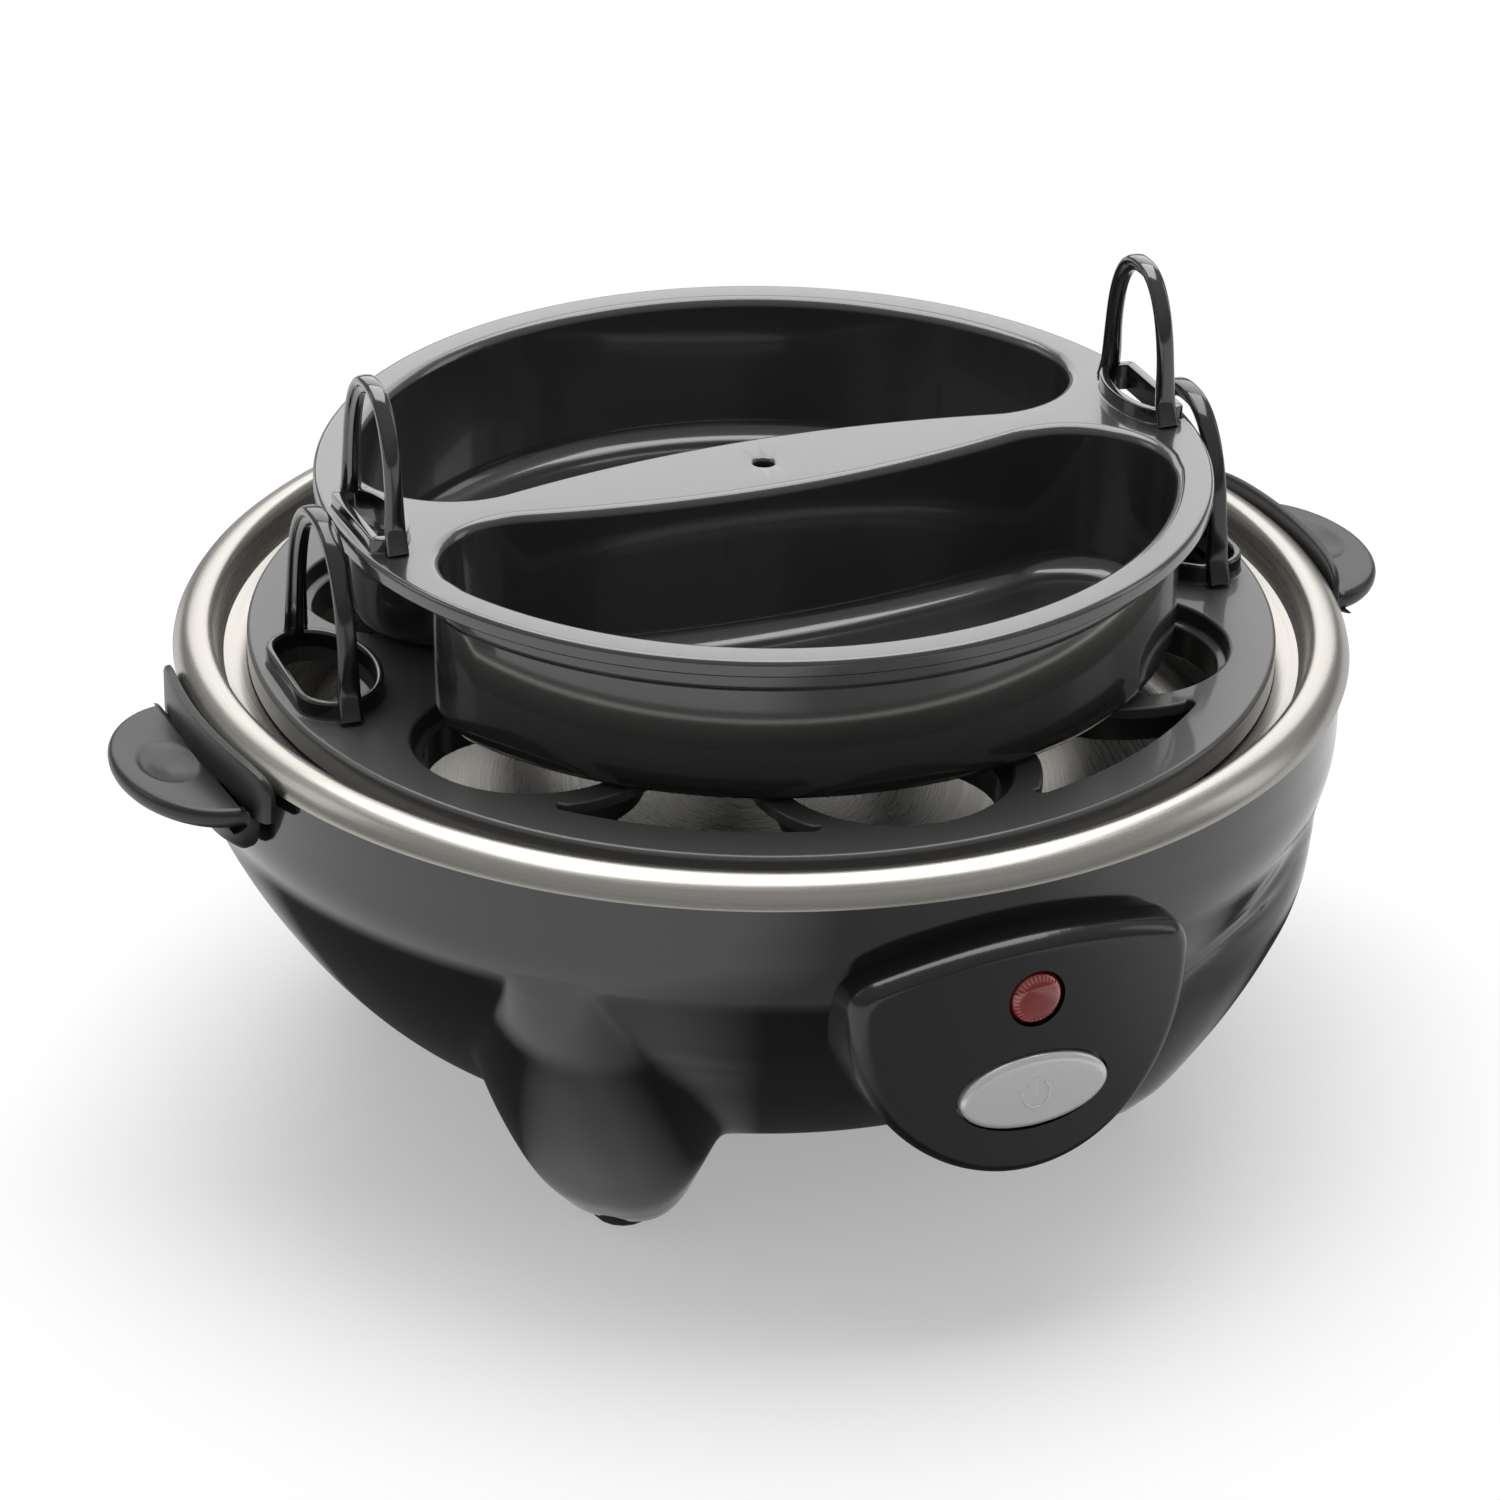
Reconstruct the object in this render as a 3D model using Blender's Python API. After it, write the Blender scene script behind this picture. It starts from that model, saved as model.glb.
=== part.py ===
"""Tabletop electric egg boiler with an egg tray and a poaching tray.

The base stands on the floor at z = 0 with the pan's axis on the Z axis. The side handles lie
along X and the control panel faces -Y. Sizes below are in millimetres; MM turns them to metres.
"""
import math

import bmesh
import bpy
from mathutils import Matrix, Vector

MM = 0.001
GAP = 0.3                     # clearance between pieces that touch on the real object

# Driving dimensions
BAND_RADIUS = 90.35           # steel rim, outer edge of the rolled band
BAND_LOW = 71.7               # underside of the band above the floor
CREST_RADIUS = 85.8           # top of the rolled bead
CREST_HEIGHT = 75.7
LEDGE_HEIGHT = 70.0           # ledge inside the rim that carries the egg tray
PAN_WALL_RADIUS = 75.6
PAN_FLOOR = 46.0
SHEET = 0.8                   # pan sheet
EGG_TRAY_RADIUS = 79.0
EGG_TRAY_TOP = 74.4
EGG_TRAY_PLATE = 1.8
EGG_TRAY_TURN = -3.8          # degrees that the egg tray stands turned on the base
EGG_HOLE_RADIUS = 17.5
EGG_HOLE_CIRCLE = 54.5
POACH_RADIUS = 68.4
POACH_TOP = 100.3
POACH_TURN = -1.8
POACH_WALL = 1.8
WELL_RADIUS = 62.5            # outer side of a poaching well
BOWL_RADIUS = 93.5            # the base is a bowl cut from this sphere
BOWL_CENTRE = 86.7
UNDERSIDE = 17.5              # underside of the bowl between the legs
FLOOR_RADIUS = 41.0           # opening in the underside
FOOT_CIRCLE = 58.0
FOOT_HEIGHT = 1.2             # rubber that shows under each leg
LEG_HALF_ANGLE = 18.0
PANEL_FACE = 95.2             # flat face of the control panel, distance from the pan's axis
PANEL_BEVEL = 3.0
PANEL_HALF_WIDTH = 28.3
PANEL_CROWN = 64.8            # top of the panel at its middle
PANEL_MIDDLE = 57.5           # height at which its straight sides turn into the lower curve
PANEL_TIP = 26.3
LAMP_HEIGHT = 56.7
BUTTON_HEIGHT = 41.7
BUTTON_HALF_WIDTH = 12.2
BUTTON_HALF_HEIGHT = 6.2
HANDLE_REACH = 105.0          # tip of a side handle from the axis
HANDLE_HALF_WIDTH = 19.0
HANDLE_TOP = 68.8
GUARD_RADIUS = 91.0           # inner face of the handle's guard, just outside the band
GUARD_TOP = 75.2
GLAND_HEIGHT = 34.0           # cord gland in the rear wall
GLAND_REACH = 94.5            # end of its nose
SPREADER_RADIUS = 42.0
ELEMENT_RADIUS = 32.0
ELEMENT_TUBE = 3.2

for old in list(bpy.data.objects):
    bpy.data.objects.remove(old, do_unlink=True)


# Materials
def make_material(name, colour, roughness, metallic=0.0):
    made = bpy.data.materials.new(name)
    made.use_nodes = True
    surface = made.node_tree.nodes["Principled BSDF"]
    surface.inputs["Base Color"].default_value = (*colour, 1.0)
    surface.inputs["Roughness"].default_value = roughness
    surface.inputs["Metallic"].default_value = metallic
    made.diffuse_color = (*colour, 1.0)
    return made


GLOSS_BLACK = make_material("gloss_black_plastic", (0.018, 0.017, 0.018), 0.22)
SATIN_BLACK = make_material("satin_black_plastic", (0.035, 0.034, 0.036), 0.42)
RUBBER = make_material("black_rubber", (0.02, 0.02, 0.02), 0.8)
STEEL = make_material("stainless_steel", (0.72, 0.70, 0.66), 0.22, 1.0)
ZINC = make_material("zinc_plated_steel", (0.62, 0.62, 0.60), 0.35, 1.0)
ALUMINIUM = make_material("aluminium", (0.75, 0.75, 0.76), 0.4, 1.0)
SILVER = make_material("silver_paint", (0.66, 0.66, 0.66), 0.3, 0.6)
RED_LENS = make_material("red_lens", (0.6, 0.05, 0.05), 0.15)
CERAMIC = make_material("white_ceramic", (0.85, 0.84, 0.80), 0.5)
GLASS = make_material("lamp_glass", (0.9, 0.75, 0.6), 0.1)
NYLON = make_material("black_nylon", (0.05, 0.05, 0.05), 0.55)
SLEEVE = make_material("wire_sleeve", (0.8, 0.78, 0.7), 0.7)


# Mesh tools that several pieces share
def shape(name, work, finish, smooth_angle=32.0):
    """Turns a bmesh in metres into a named object with its finish."""
    bmesh.ops.recalc_face_normals(work, faces=work.faces)
    mesh = bpy.data.meshes.new(name)
    work.to_mesh(mesh)
    work.free()
    mesh.materials.append(finish)
    mesh.shade_smooth()
    mesh.set_sharp_from_angle(angle=math.radians(smooth_angle))
    made = bpy.data.objects.new(name, mesh)
    bpy.context.scene.collection.objects.link(made)
    return made


def as_cutter(made):
    made.hide_render = True
    made.display_type = "WIRE"
    return made


def boolean(target, tool, operation):
    step = target.modifiers.new(operation.lower(), "BOOLEAN")
    step.operation = operation
    step.object = tool
    step.solver = "EXACT"


def turned(profile, steps=64):
    """A profile of (radius, height) turned about Z; one that ends on the axis stays open there."""
    work = bmesh.new()
    corners = [work.verts.new((radius * MM, 0.0, height * MM)) for radius, height in profile]
    edges = [work.edges.new(pair) for pair in zip(corners, corners[1:])]
    if profile[0][0] > 0.0 or profile[-1][0] > 0.0:
        edges.append(work.edges.new((corners[-1], corners[0])))
    bmesh.ops.spin(
        work, geom=corners + edges, cent=(0, 0, 0), axis=(0, 0, 1),
        angle=math.tau, steps=steps, use_merge=True,
    )
    bmesh.ops.remove_doubles(work, verts=work.verts, dist=0.000002)
    return work


def prism(outline, low, high):
    """A flat outline of (x, y) raised from one height to another."""
    work = bmesh.new()
    face = work.faces.new([work.verts.new((x * MM, y * MM, low * MM)) for x, y in outline])
    grown = bmesh.ops.extrude_face_region(work, geom=[face])
    raised = [item for item in grown["geom"] if isinstance(item, bmesh.types.BMVert)]
    bmesh.ops.translate(work, verts=raised, vec=(0, 0, (high - low) * MM))
    return work


def moved(work, place=(0, 0, 0), turn=None):
    """Turns a bmesh about the origin, then moves it; the place is in millimetres."""
    if turn is not None:
        bmesh.ops.rotate(work, verts=work.verts, cent=(0, 0, 0), matrix=turn)
    bmesh.ops.translate(work, verts=work.verts, vec=Vector(place) * MM)
    return work


def joined(*works):
    """Puts the shells of several bmeshes into the first one, as separate bodies."""
    first = works[0]
    for other in works[1:]:
        mesh = bpy.data.meshes.new("joined")
        other.to_mesh(mesh)
        other.free()
        first.from_mesh(mesh)
        bpy.data.meshes.remove(mesh)
    return first


def about_z(degrees):
    return Matrix.Rotation(math.radians(degrees), 3, "Z")


def polar(radius, degrees, height=0.0):
    return (radius * math.cos(math.radians(degrees)), radius * math.sin(math.radians(degrees)), height)


def circle(radius, count, centre=(0.0, 0.0), start=0.0):
    return [
        (centre[0] + radius * math.cos(math.radians(start + 360.0 * i / count)),
         centre[1] + radius * math.sin(math.radians(start + 360.0 * i / count)))
        for i in range(count)
    ]


def arc(radius, start, end, count, centre=(0.0, 0.0)):
    """Points of an arc, both ends included."""
    return [
        (centre[0] + radius * math.cos(math.radians(start + (end - start) * i / count)),
         centre[1] + radius * math.sin(math.radians(start + (end - start) * i / count)))
        for i in range(count + 1)
    ]


def offset(outline, distance):
    """Moves each point of a counter-clockwise outline outwards along its own normal."""
    count = len(outline)
    grown = []
    for i, (x, y) in enumerate(outline):
        before = Vector(outline[i - 1])
        after = Vector(outline[(i + 1) % count])
        along = (after - before).normalized()
        grown.append((x + along.y * distance, y - along.x * distance))
    return grown


def spun(outline, degrees):
    c, s = math.cos(math.radians(degrees)), math.sin(math.radians(degrees))
    return [(c * x - s * y, s * x + c * y) for x, y in outline]


def loop_at(work, outline, height):
    """A closed loop of vertices and edges at one height."""
    points = [work.verts.new((x * MM, y * MM, height * MM)) for x, y in outline]
    edges = [work.edges.new((points[i - 1], points[i])) for i in range(len(points))]
    return points, edges


def wall(work, rings):
    """Quads between neighbouring rings that have the same number of vertices."""
    for low, high in zip(rings, rings[1:]):
        for i in range(len(low)):
            work.faces.new((low[i - 1], low[i], high[i], high[i - 1]))


def fill(work, loops):
    """Triangles over a flat face with holes, from the loops of edges round it."""
    edges = [edge for loop in loops for edge in loop]
    bmesh.ops.triangle_fill(work, use_beauty=True, use_dissolve=False, edges=edges)


def smooth_route(points, per_span=4):
    """Points on a smooth curve through the given ones."""
    ends = [points[0]] + list(points) + [points[-1]]
    ends = [Vector(point) for point in ends]
    route = []
    for i in range(1, len(ends) - 2):
        for k in range(per_span):
            t = k / per_span
            a, b, c, d = ends[i - 1: i + 3]
            route.append(0.5 * (2 * b + (c - a) * t + (2 * a - 5 * b + 4 * c - d) * t * t
                                + (3 * b - 3 * c + d - a) * t ** 3))
    route.append(ends[-2])
    return route


def tube(name, route, radius, finish, resolution=2):
    """A round tube along a route in millimetres, with closed ends."""
    curve = bpy.data.curves.new(name, "CURVE")
    curve.dimensions = "3D"
    curve.bevel_depth = radius * MM
    curve.bevel_resolution = resolution
    curve.use_fill_caps = True
    line = curve.splines.new("POLY")
    line.points.add(len(route) - 1)
    for point, place in zip(line.points, route):
        point.co = (*(Vector(place) * MM), 1.0)
    curve.materials.append(finish)
    made = bpy.data.objects.new(name, curve)
    bpy.context.scene.collection.objects.link(made)
    return made


def cylinder(radius, low, high, steps=24):
    return turned([(0, low), (radius, low), (radius, high), (0, high)], steps)


# Turns for a piece made along Z, which point its top to the right, the front, the rear or the floor
TO_THE_RIGHT = Matrix.Rotation(math.radians(90), 3, "Y")
TO_THE_FRONT = Matrix.Rotation(math.radians(90), 3, "X")
TO_THE_REAR = Matrix.Rotation(math.radians(-90), 3, "X")
UPSIDE_DOWN = Matrix.Rotation(math.radians(180), 3, "X")


# Base housing: one moulded bowl with four hollow legs, glossy black
HOUSING_COLUMNS = 56
bowl_rows = [65.0, 57.5, 50.0, 42.5, 35.5, 29.0, 23.8, 20.0, 18.0]
leg_rows = [
    (89.7, 65.0), (89.3, 57.0), (88.1, 48.5), (85.7, 39.5), (82.0, 30.5),
    (77.3, 21.5), (72.6, 13.8), (68.4, 7.5), (65.0, 3.6),
]


def bowl_radius(height):
    """Radius of the bowl's outside; the top is steeper than the sphere, up to the band."""
    sphere = math.sqrt(BOWL_RADIUS ** 2 - (BOWL_CENTRE - height) ** 2)
    return min(sphere, BAND_RADIUS - 0.9 - 0.02 * (BAND_LOW - height))


def leg_share(degrees, half_angle=LEG_HALF_ANGLE):
    """How far a column belongs to a leg: 1 on the leg's middle line, 0 past its edges."""
    away = abs(degrees % 90.0 - 45.0)
    return max(0.0, 1.0 - (away / half_angle) ** 2) ** 1.1


def build_housing():
    rim = [(85.7, 73.9), (87.2, 73.9), (88.2, 72.8), (88.2, 71.2), (89.4, 71.2)]
    outer = [((bowl_radius(z), z), leg) for z, leg in zip(bowl_rows, leg_rows)]
    foot_low = FOOT_HEIGHT
    under = [
        ((58.5, UNDERSIDE), (61.8, foot_low)), ((54.5, UNDERSIDE), (54.6, foot_low)),
        ((52.0, UNDERSIDE), (52.0, 4.6)), ((48.4, UNDERSIDE), (49.4, UNDERSIDE)),
    ]
    floor = [((FLOOR_RADIUS, UNDERSIDE), None), ((FLOOR_RADIUS, 20.0), None)]
    inside = [
        ((50.5, 20.0), (51.6, 15.0)), ((53.0, 20.0), (54.0, 5.6)), ((61.5, 20.8), (61.0, 5.6)),
        ((69.0, 26.4), (71.0, 15.5)), ((76.4, 35.5), (79.0, 30.0)), ((82.6, 47.5), (83.4, 45.0)),
        ((85.7, 60.0), None),
    ]
    rows = [(point, None) for point in rim] + outer + under + floor + inside
    inner_from = len(rim) + len(outer) + len(under) + len(floor)
    work = bmesh.new()
    rings = []
    for index, (plain, leg) in enumerate(rows):
        ring = []
        for column in range(HOUSING_COLUMNS):
            degrees = 360.0 * column / HOUSING_COLUMNS
            half_angle = LEG_HALF_ANGLE if index < inner_from else LEG_HALF_ANGLE - 4.5
            share = leg_share(degrees, half_angle) if leg else 0.0
            target = leg or plain
            radius = plain[0] + (target[0] - plain[0]) * share
            height = plain[1] + (target[1] - plain[1]) * share
            ring.append(work.verts.new(Vector(polar(radius, degrees, height)) * MM))
        rings.append(ring)
    wall(work, rings + [rings[0]])
    return work


def shield(grow=0.0):
    """Outline of the control panel in (x, height), counter-clockwise, grown or shrunk by an amount."""
    half = PANEL_HALF_WIDTH
    drop = PANEL_MIDDLE - PANEL_TIP
    lower = [(half * math.cos(a), PANEL_MIDDLE + drop * math.sin(a))
             for a in [math.radians(180 + 180.0 * i / 20) for i in range(21)]]
    corner = 4.5
    right = arc(corner, 0, 80, 5, (half - corner, PANEL_CROWN - 1.6 - corner))
    crown = [(x, PANEL_CROWN - 1.1 * (x / 21.0) ** 2) for x in (16.0, 8.0, 0.0, -8.0, -16.0)]
    left = [(-x, z) for x, z in reversed(right)]
    return offset(lower + right + crown + left, grow)


def panel_prism(outline, front, back):
    """Stands an outline of (x, height) up and runs it from the front to the back."""
    return moved(prism(outline, back, front), turn=TO_THE_FRONT)


LEG_ANGLES = (45.0, 135.0, 225.0, 315.0)
BOSS_ANGLES = (30.0, 150.0, 270.0)
BOSS_CIRCLE = 56.0
COVER_SCREW_ANGLES = (0.0, 90.0, 180.0, 270.0)
COVER_SCREW_CIRCLE = 44.2
HANDLE_SCREW_ANGLES = (-5.0, 5.0)
HANDLE_SCREW_HEIGHT = 62.8
GLAND_FACE = 84.5             # flat face of the boss that the gland sits on
GLAND_RADIUS = 6.5
GLAND_BORE = 3.2              # room for the mains lead

housing = shape("base_housing", build_housing(), GLOSS_BLACK, 30.0)

bosses = [moved(cylinder(4.6, 18.9, 41.2, 16), polar(BOSS_CIRCLE, a)) for a in BOSS_ANGLES]
gland_boss = cylinder(9.5, 67.0, GLAND_FACE, 24)
bosses.append(moved(gland_boss, (0, 0, GLAND_HEIGHT), TO_THE_REAR))
boss_tool = as_cutter(shape("boss_tool", joined(*bosses), GLOSS_BLACK))
boolean(housing, boss_tool, "UNION")

cuts = [moved(cylinder(5.0, -2.0, FOOT_HEIGHT + 1.5, 20), polar(FOOT_CIRCLE, a)) for a in LEG_ANGLES]
cuts += [moved(cylinder(1.9, 30.0, 45.0, 12), polar(BOSS_CIRCLE, a)) for a in BOSS_ANGLES]
for side in (0.0, 180.0):
    for angle in HANDLE_SCREW_ANGLES:
        hole = moved(cylinder(1.9, 80.0, 95.0, 12), turn=TO_THE_RIGHT)
        cuts.append(moved(hole, (0, 0, HANDLE_SCREW_HEIGHT), about_z(side + angle)))
cuts += [moved(cylinder(1.8, 15.0, 22.0, 12), polar(COVER_SCREW_CIRCLE, a)) for a in COVER_SCREW_ANGLES]
gland_hole = cylinder(GLAND_RADIUS + GAP, 60.0, 100.0, 20)
cuts.append(moved(gland_hole, (0, 0, GLAND_HEIGHT), TO_THE_REAR))
cuts.append(panel_prism(shield(GAP), 110.0, 66.0))
housing_cuts = as_cutter(shape("housing_cuts", joined(*cuts), GLOSS_BLACK))
boolean(housing, housing_cuts, "DIFFERENCE")


# Bottom cover: a black plate under the opening, slotted for air and screwed up into the floor
cover_profile = [(0, 15.9), (34, 15.9), (35, 15.2), (46.6, 15.2), (46.6, 17.2), (40.5, 17.2), (40.5, 18.6),
                 (0, 18.6)]
bottom_cover = shape("bottom_cover", turned(cover_profile, 32), SATIN_BLACK)
slots = []
for index in range(8):
    slot = prism([(-8, -1.2), (8, -1.2), (8, 1.2), (-8, 1.2)], 14, 24)
    slots.append(moved(moved(slot, (20, 0, 0)), turn=about_z(22.5 + 45.0 * index)))
slots += [moved(cylinder(1.8, 14, 24, 12), polar(COVER_SCREW_CIRCLE, a)) for a in COVER_SCREW_ANGLES]
cover_cuts = as_cutter(shape("cover_cuts", joined(*slots), SATIN_BLACK))
boolean(bottom_cover, cover_cuts, "DIFFERENCE")


# Screws: domed head and plain shank, turned in one profile; the head's underside is at zero
def screw(name, head, head_height, shank, length, place, turn=None, slotted=False):
    profile = [(0, -head_height), (head * 0.65, -head_height), (head, -head_height * 0.4), (head, 0),
               (shank, 0), (shank, length), (0, length)]
    made = shape(name, moved(turned(profile, 8), place, turn), ZINC)
    if not slotted:
        return made
    drive = [(-head, -0.4), (head, -0.4), (head, 0.4), (-head, 0.4)]
    slot = prism(drive, -head_height - 1.0, -head_height + 0.6)
    drive_cut = as_cutter(shape(name + "_slot", moved(slot, place, turn), ZINC))
    boolean(made, drive_cut, "DIFFERENCE")
    return made


for index, angle in enumerate(COVER_SCREW_ANGLES):
    place = polar(COVER_SCREW_CIRCLE, angle, 14.9)
    screw(f"bottom_screw_{index + 1}", 2.6, 1.4, 1.4, 5.5, place, slotted=True)

# Rubber feet: pressed into the pockets under the legs
for index, angle in enumerate(LEG_ANGLES):
    foot = [(0, 0), (4.1, 0), (4.6, 0.5), (4.6, FOOT_HEIGHT + 1.2), (0, FOOT_HEIGHT + 1.2)]
    shape(f"rubber_foot_{index + 1}", moved(turned(foot, 16), polar(FOOT_CIRCLE, angle)), RUBBER)

# Heating pan: one stainless pressing with a rolled rim, a ledge for the tray and a flat floor
pan_profile = [
    (0, PAN_FLOOR), (66.0, PAN_FLOOR), (71.5, PAN_FLOOR + 2.0), (74.4, PAN_FLOOR + 7.5),
    (PAN_WALL_RADIUS, 67.6), (77.2, LEDGE_HEIGHT), (82.2, LEDGE_HEIGHT), (83.4, 71.2), (84.3, 74.7),
    (CREST_RADIUS, CREST_HEIGHT), (88.0, 75.2), (89.6, 73.8), (BAND_RADIUS, BAND_LOW),
    (BAND_RADIUS - SHEET, BAND_LOW), (88.9, 73.4), (87.6, 74.4), (CREST_RADIUS, CREST_HEIGHT - 0.9),
    (84.9, 74.0), (82.6, LEDGE_HEIGHT - SHEET), (77.6, LEDGE_HEIGHT - SHEET), (PAN_WALL_RADIUS + SHEET, 67.4),
    (75.2, PAN_FLOOR + 7.3), (72.0, PAN_FLOOR + 1.3), (66.3, PAN_FLOOR - SHEET), (0, PAN_FLOOR - SHEET),
]
shape("heating_pan", turned(pan_profile, 44), STEEL)

# Heat spreader: an aluminium disc under the pan's floor, with the heating tube along its underside
SPREADER_TOP = PAN_FLOOR - SHEET - GAP
SPREADER_LOW = SPREADER_TOP - 2.0
spreader = [(0, SPREADER_LOW), (41.0, SPREADER_LOW), (SPREADER_RADIUS, SPREADER_LOW + 0.8),
            (SPREADER_RADIUS, SPREADER_TOP), (0, SPREADER_TOP)]
shape("heat_spreader", turned(spreader, 32), ALUMINIUM)

# Heating element: a steel-clad tube in an open ring, both ends turned down to their terminals
ELEMENT_HEIGHT = SPREADER_LOW - GAP - ELEMENT_TUBE


def element_route():
    """An open ring of 312 degrees, with both ends turned down over 14 mm towards each other."""
    ring = [polar(ELEMENT_RADIUS, 66.0 - i * 312.0 / 28, ELEMENT_HEIGHT) for i in range(29)]
    down = [(1.4, 0.6, 3.0), (2.0, 0.9, 6.5), (2.0, 0.9, 14.0)]
    first, last = ring[0], ring[-1]
    lead_in = [(first[0] - across, first[1] + along, ELEMENT_HEIGHT - drop) for across, along, drop in down]
    lead_out = [(last[0] + across, last[1] + along, ELEMENT_HEIGHT - drop) for across, along, drop in down]
    return lead_in[::-1] + ring + lead_out


tube("heating_element", element_route(), ELEMENT_TUBE, STEEL, 1)

# Pan brackets: three steel straps from under the spreader to the bosses of the housing
strap_outline = arc(6.0, -60, 60, 8, (BOSS_CIRCLE, 0))
strap_outline += [(43.5, 5.2), (36.6, 5.2), (36.6, -5.2), (43.5, -5.2)]
for index, angle in enumerate(BOSS_ANGLES):
    strap_work = moved(prism(strap_outline, 41.5, SPREADER_LOW - GAP), turn=about_z(angle))
    strap = shape(f"pan_bracket_{index + 1}", strap_work, ZINC)
    hole = moved(cylinder(1.9, 38, 46, 12), polar(BOSS_CIRCLE, angle))
    boolean(strap, as_cutter(shape(f"bracket_hole_{index + 1}", hole, ZINC)), "DIFFERENCE")
    place = polar(BOSS_CIRCLE, angle, SPREADER_LOW)
    screw(f"bracket_screw_{index + 1}", 3.0, 1.6, 1.6, 9.0, place, UPSIDE_DOWN)

# Thermostat: a round bimetal switch pressed on the spreader by a bent steel bracket
thermostat_top = SPREADER_LOW - GAP
thermostat = [(0, 31.6), (6.2, 31.6), (6.2, 33.0), (8.2, 33.0), (8.2, thermostat_top), (0, thermostat_top)]
shape("thermostat", turned(thermostat, 20), NYLON)

bracket_side = [(-24, 42.6), (-15.5, 42.6), (-11.5, 31.3), (11.5, 31.3), (15.5, 42.6), (24, 42.6), (24, 41.4),
                (16.4, 41.4), (12.4, 30.1), (-12.4, 30.1), (-16.4, 41.4), (-24, 41.4)]
shape("thermostat_bracket", panel_prism(bracket_side, 5.0, -5.0), ZINC)

# Thermal fuse: a small sleeved cut-out held against the spreader by a clip
fuse_profile = [(0, -9), (1.2, -9), (1.2, -6.5), (2.2, -6), (2.2, 6), (1.2, 6.5), (1.2, 9), (0, 9)]
fuse = moved(turned(fuse_profile, 10), (0, -20.4, SPREADER_LOW - GAP - 2.2), TO_THE_RIGHT)
shape("thermal_fuse", fuse, SLEEVE)
clip_outline = [(-24.6, 42.6), (-24.6, 36.8), (-16.2, 36.8), (-16.2, 41.4), (-13.2, 41.4), (-13.2, 42.6),
                (-17.4, 42.6), (-17.4, 37.8), (-23.4, 37.8), (-23.4, 42.6)]
clip = moved(prism(clip_outline, -1.5, 1.5), turn=Matrix(((0, 0, 1), (1, 0, 0), (0, 1, 0))))
shape("fuse_clip", clip, ZINC)


# Control panel: a shield with a thick rounded edge, hollow behind, with a lamp hole and a button well
def rear_edge(x, height):
    """Depth of the panel's rear edge, which follows the inside of the bowl's wall."""
    return math.sqrt(bowl_radius(height) ** 2 - x ** 2) - 2.6


def bevelled_shield():
    work = bmesh.new()
    steps = [(0.0, PANEL_FACE - 3.0), (-0.25, PANEL_FACE - 1.85), (-0.95, PANEL_FACE - 0.85),
             (-1.9, PANEL_FACE - 0.25), (-PANEL_BEVEL, PANEL_FACE)]
    rings = [[work.verts.new((x * MM, -rear_edge(x, z) * MM, z * MM)) for x, z in shield(0.0)]]
    for grow, depth in steps:
        rings.append([work.verts.new((x * MM, -depth * MM, z * MM)) for x, z in shield(grow)])
    wall(work, rings)
    inner = [[work.verts.new((x * MM, -rear_edge(x, z) * MM, z * MM)) for x, z in shield(-2.2)],
             [work.verts.new((x * MM, -(PANEL_FACE - 2.4) * MM, z * MM)) for x, z in shield(-2.2)]]
    for i in range(len(rings[0])):
        work.faces.new((rings[0][i - 1], rings[0][i], inner[0][i], inner[0][i - 1]))
    wall(work, inner)
    work.faces.new(rings[-1])
    work.faces.new(inner[-1])
    bmesh.ops.triangulate(work, faces=[face for face in work.faces if len(face.verts) > 4])
    return work


def oval(half_width, half_height, centre_height, count=28):
    return [(half_width * math.cos(a), centre_height + half_height * math.sin(a))
            for a in [2 * math.pi * i / count for i in range(count)]]


control_panel = shape("control_panel", bevelled_shield(), SATIN_BLACK)
lamp_hole = panel_prism(circle(4.9, 18, (0, LAMP_HEIGHT)), 110.0, 80.0)
button_hole = panel_prism(oval(BUTTON_HALF_WIDTH + 0.5, BUTTON_HALF_HEIGHT + 0.5, BUTTON_HEIGHT), 110.0, 80.0)
panel_holes = as_cutter(shape("panel_holes", joined(lamp_hole, button_hole), SATIN_BLACK))
boolean(control_panel, panel_holes, "DIFFERENCE")

# Indicator lens: a red faceted jewel with a collar behind the panel, and the neon lamp inside it
lens_profile = [(0, PANEL_FACE + 0.9), (2.4, PANEL_FACE + 0.75), (4.2, PANEL_FACE + 0.1),
                (4.6, PANEL_FACE - 0.6), (4.6, PANEL_FACE - 2.7), (5.5, PANEL_FACE - 2.7),
                (5.5, PANEL_FACE - 4.2), (3.4, PANEL_FACE - 4.2), (3.4, PANEL_FACE - 1.6),
                (0, PANEL_FACE - 1.2)]
shape("indicator_lens", moved(turned(lens_profile, 18), (0, 0, LAMP_HEIGHT), TO_THE_FRONT), RED_LENS)
neon_profile = [(0, PANEL_FACE - 2.4), (1.6, PANEL_FACE - 2.8), (2.6, PANEL_FACE - 4.0),
                (2.6, PANEL_FACE - 13.5), (0, PANEL_FACE - 13.5)]
shape("neon_lamp", moved(turned(neon_profile, 10), (0, 0, LAMP_HEIGHT), TO_THE_FRONT), GLASS)

# Power button: a silver oval cap on a stem, with a lip behind the panel that stops it; its origin is
# the middle of the panel's face at the button, which lies on the line that it slides along
BUTTON_OUT = PANEL_FACE + 1.0


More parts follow.
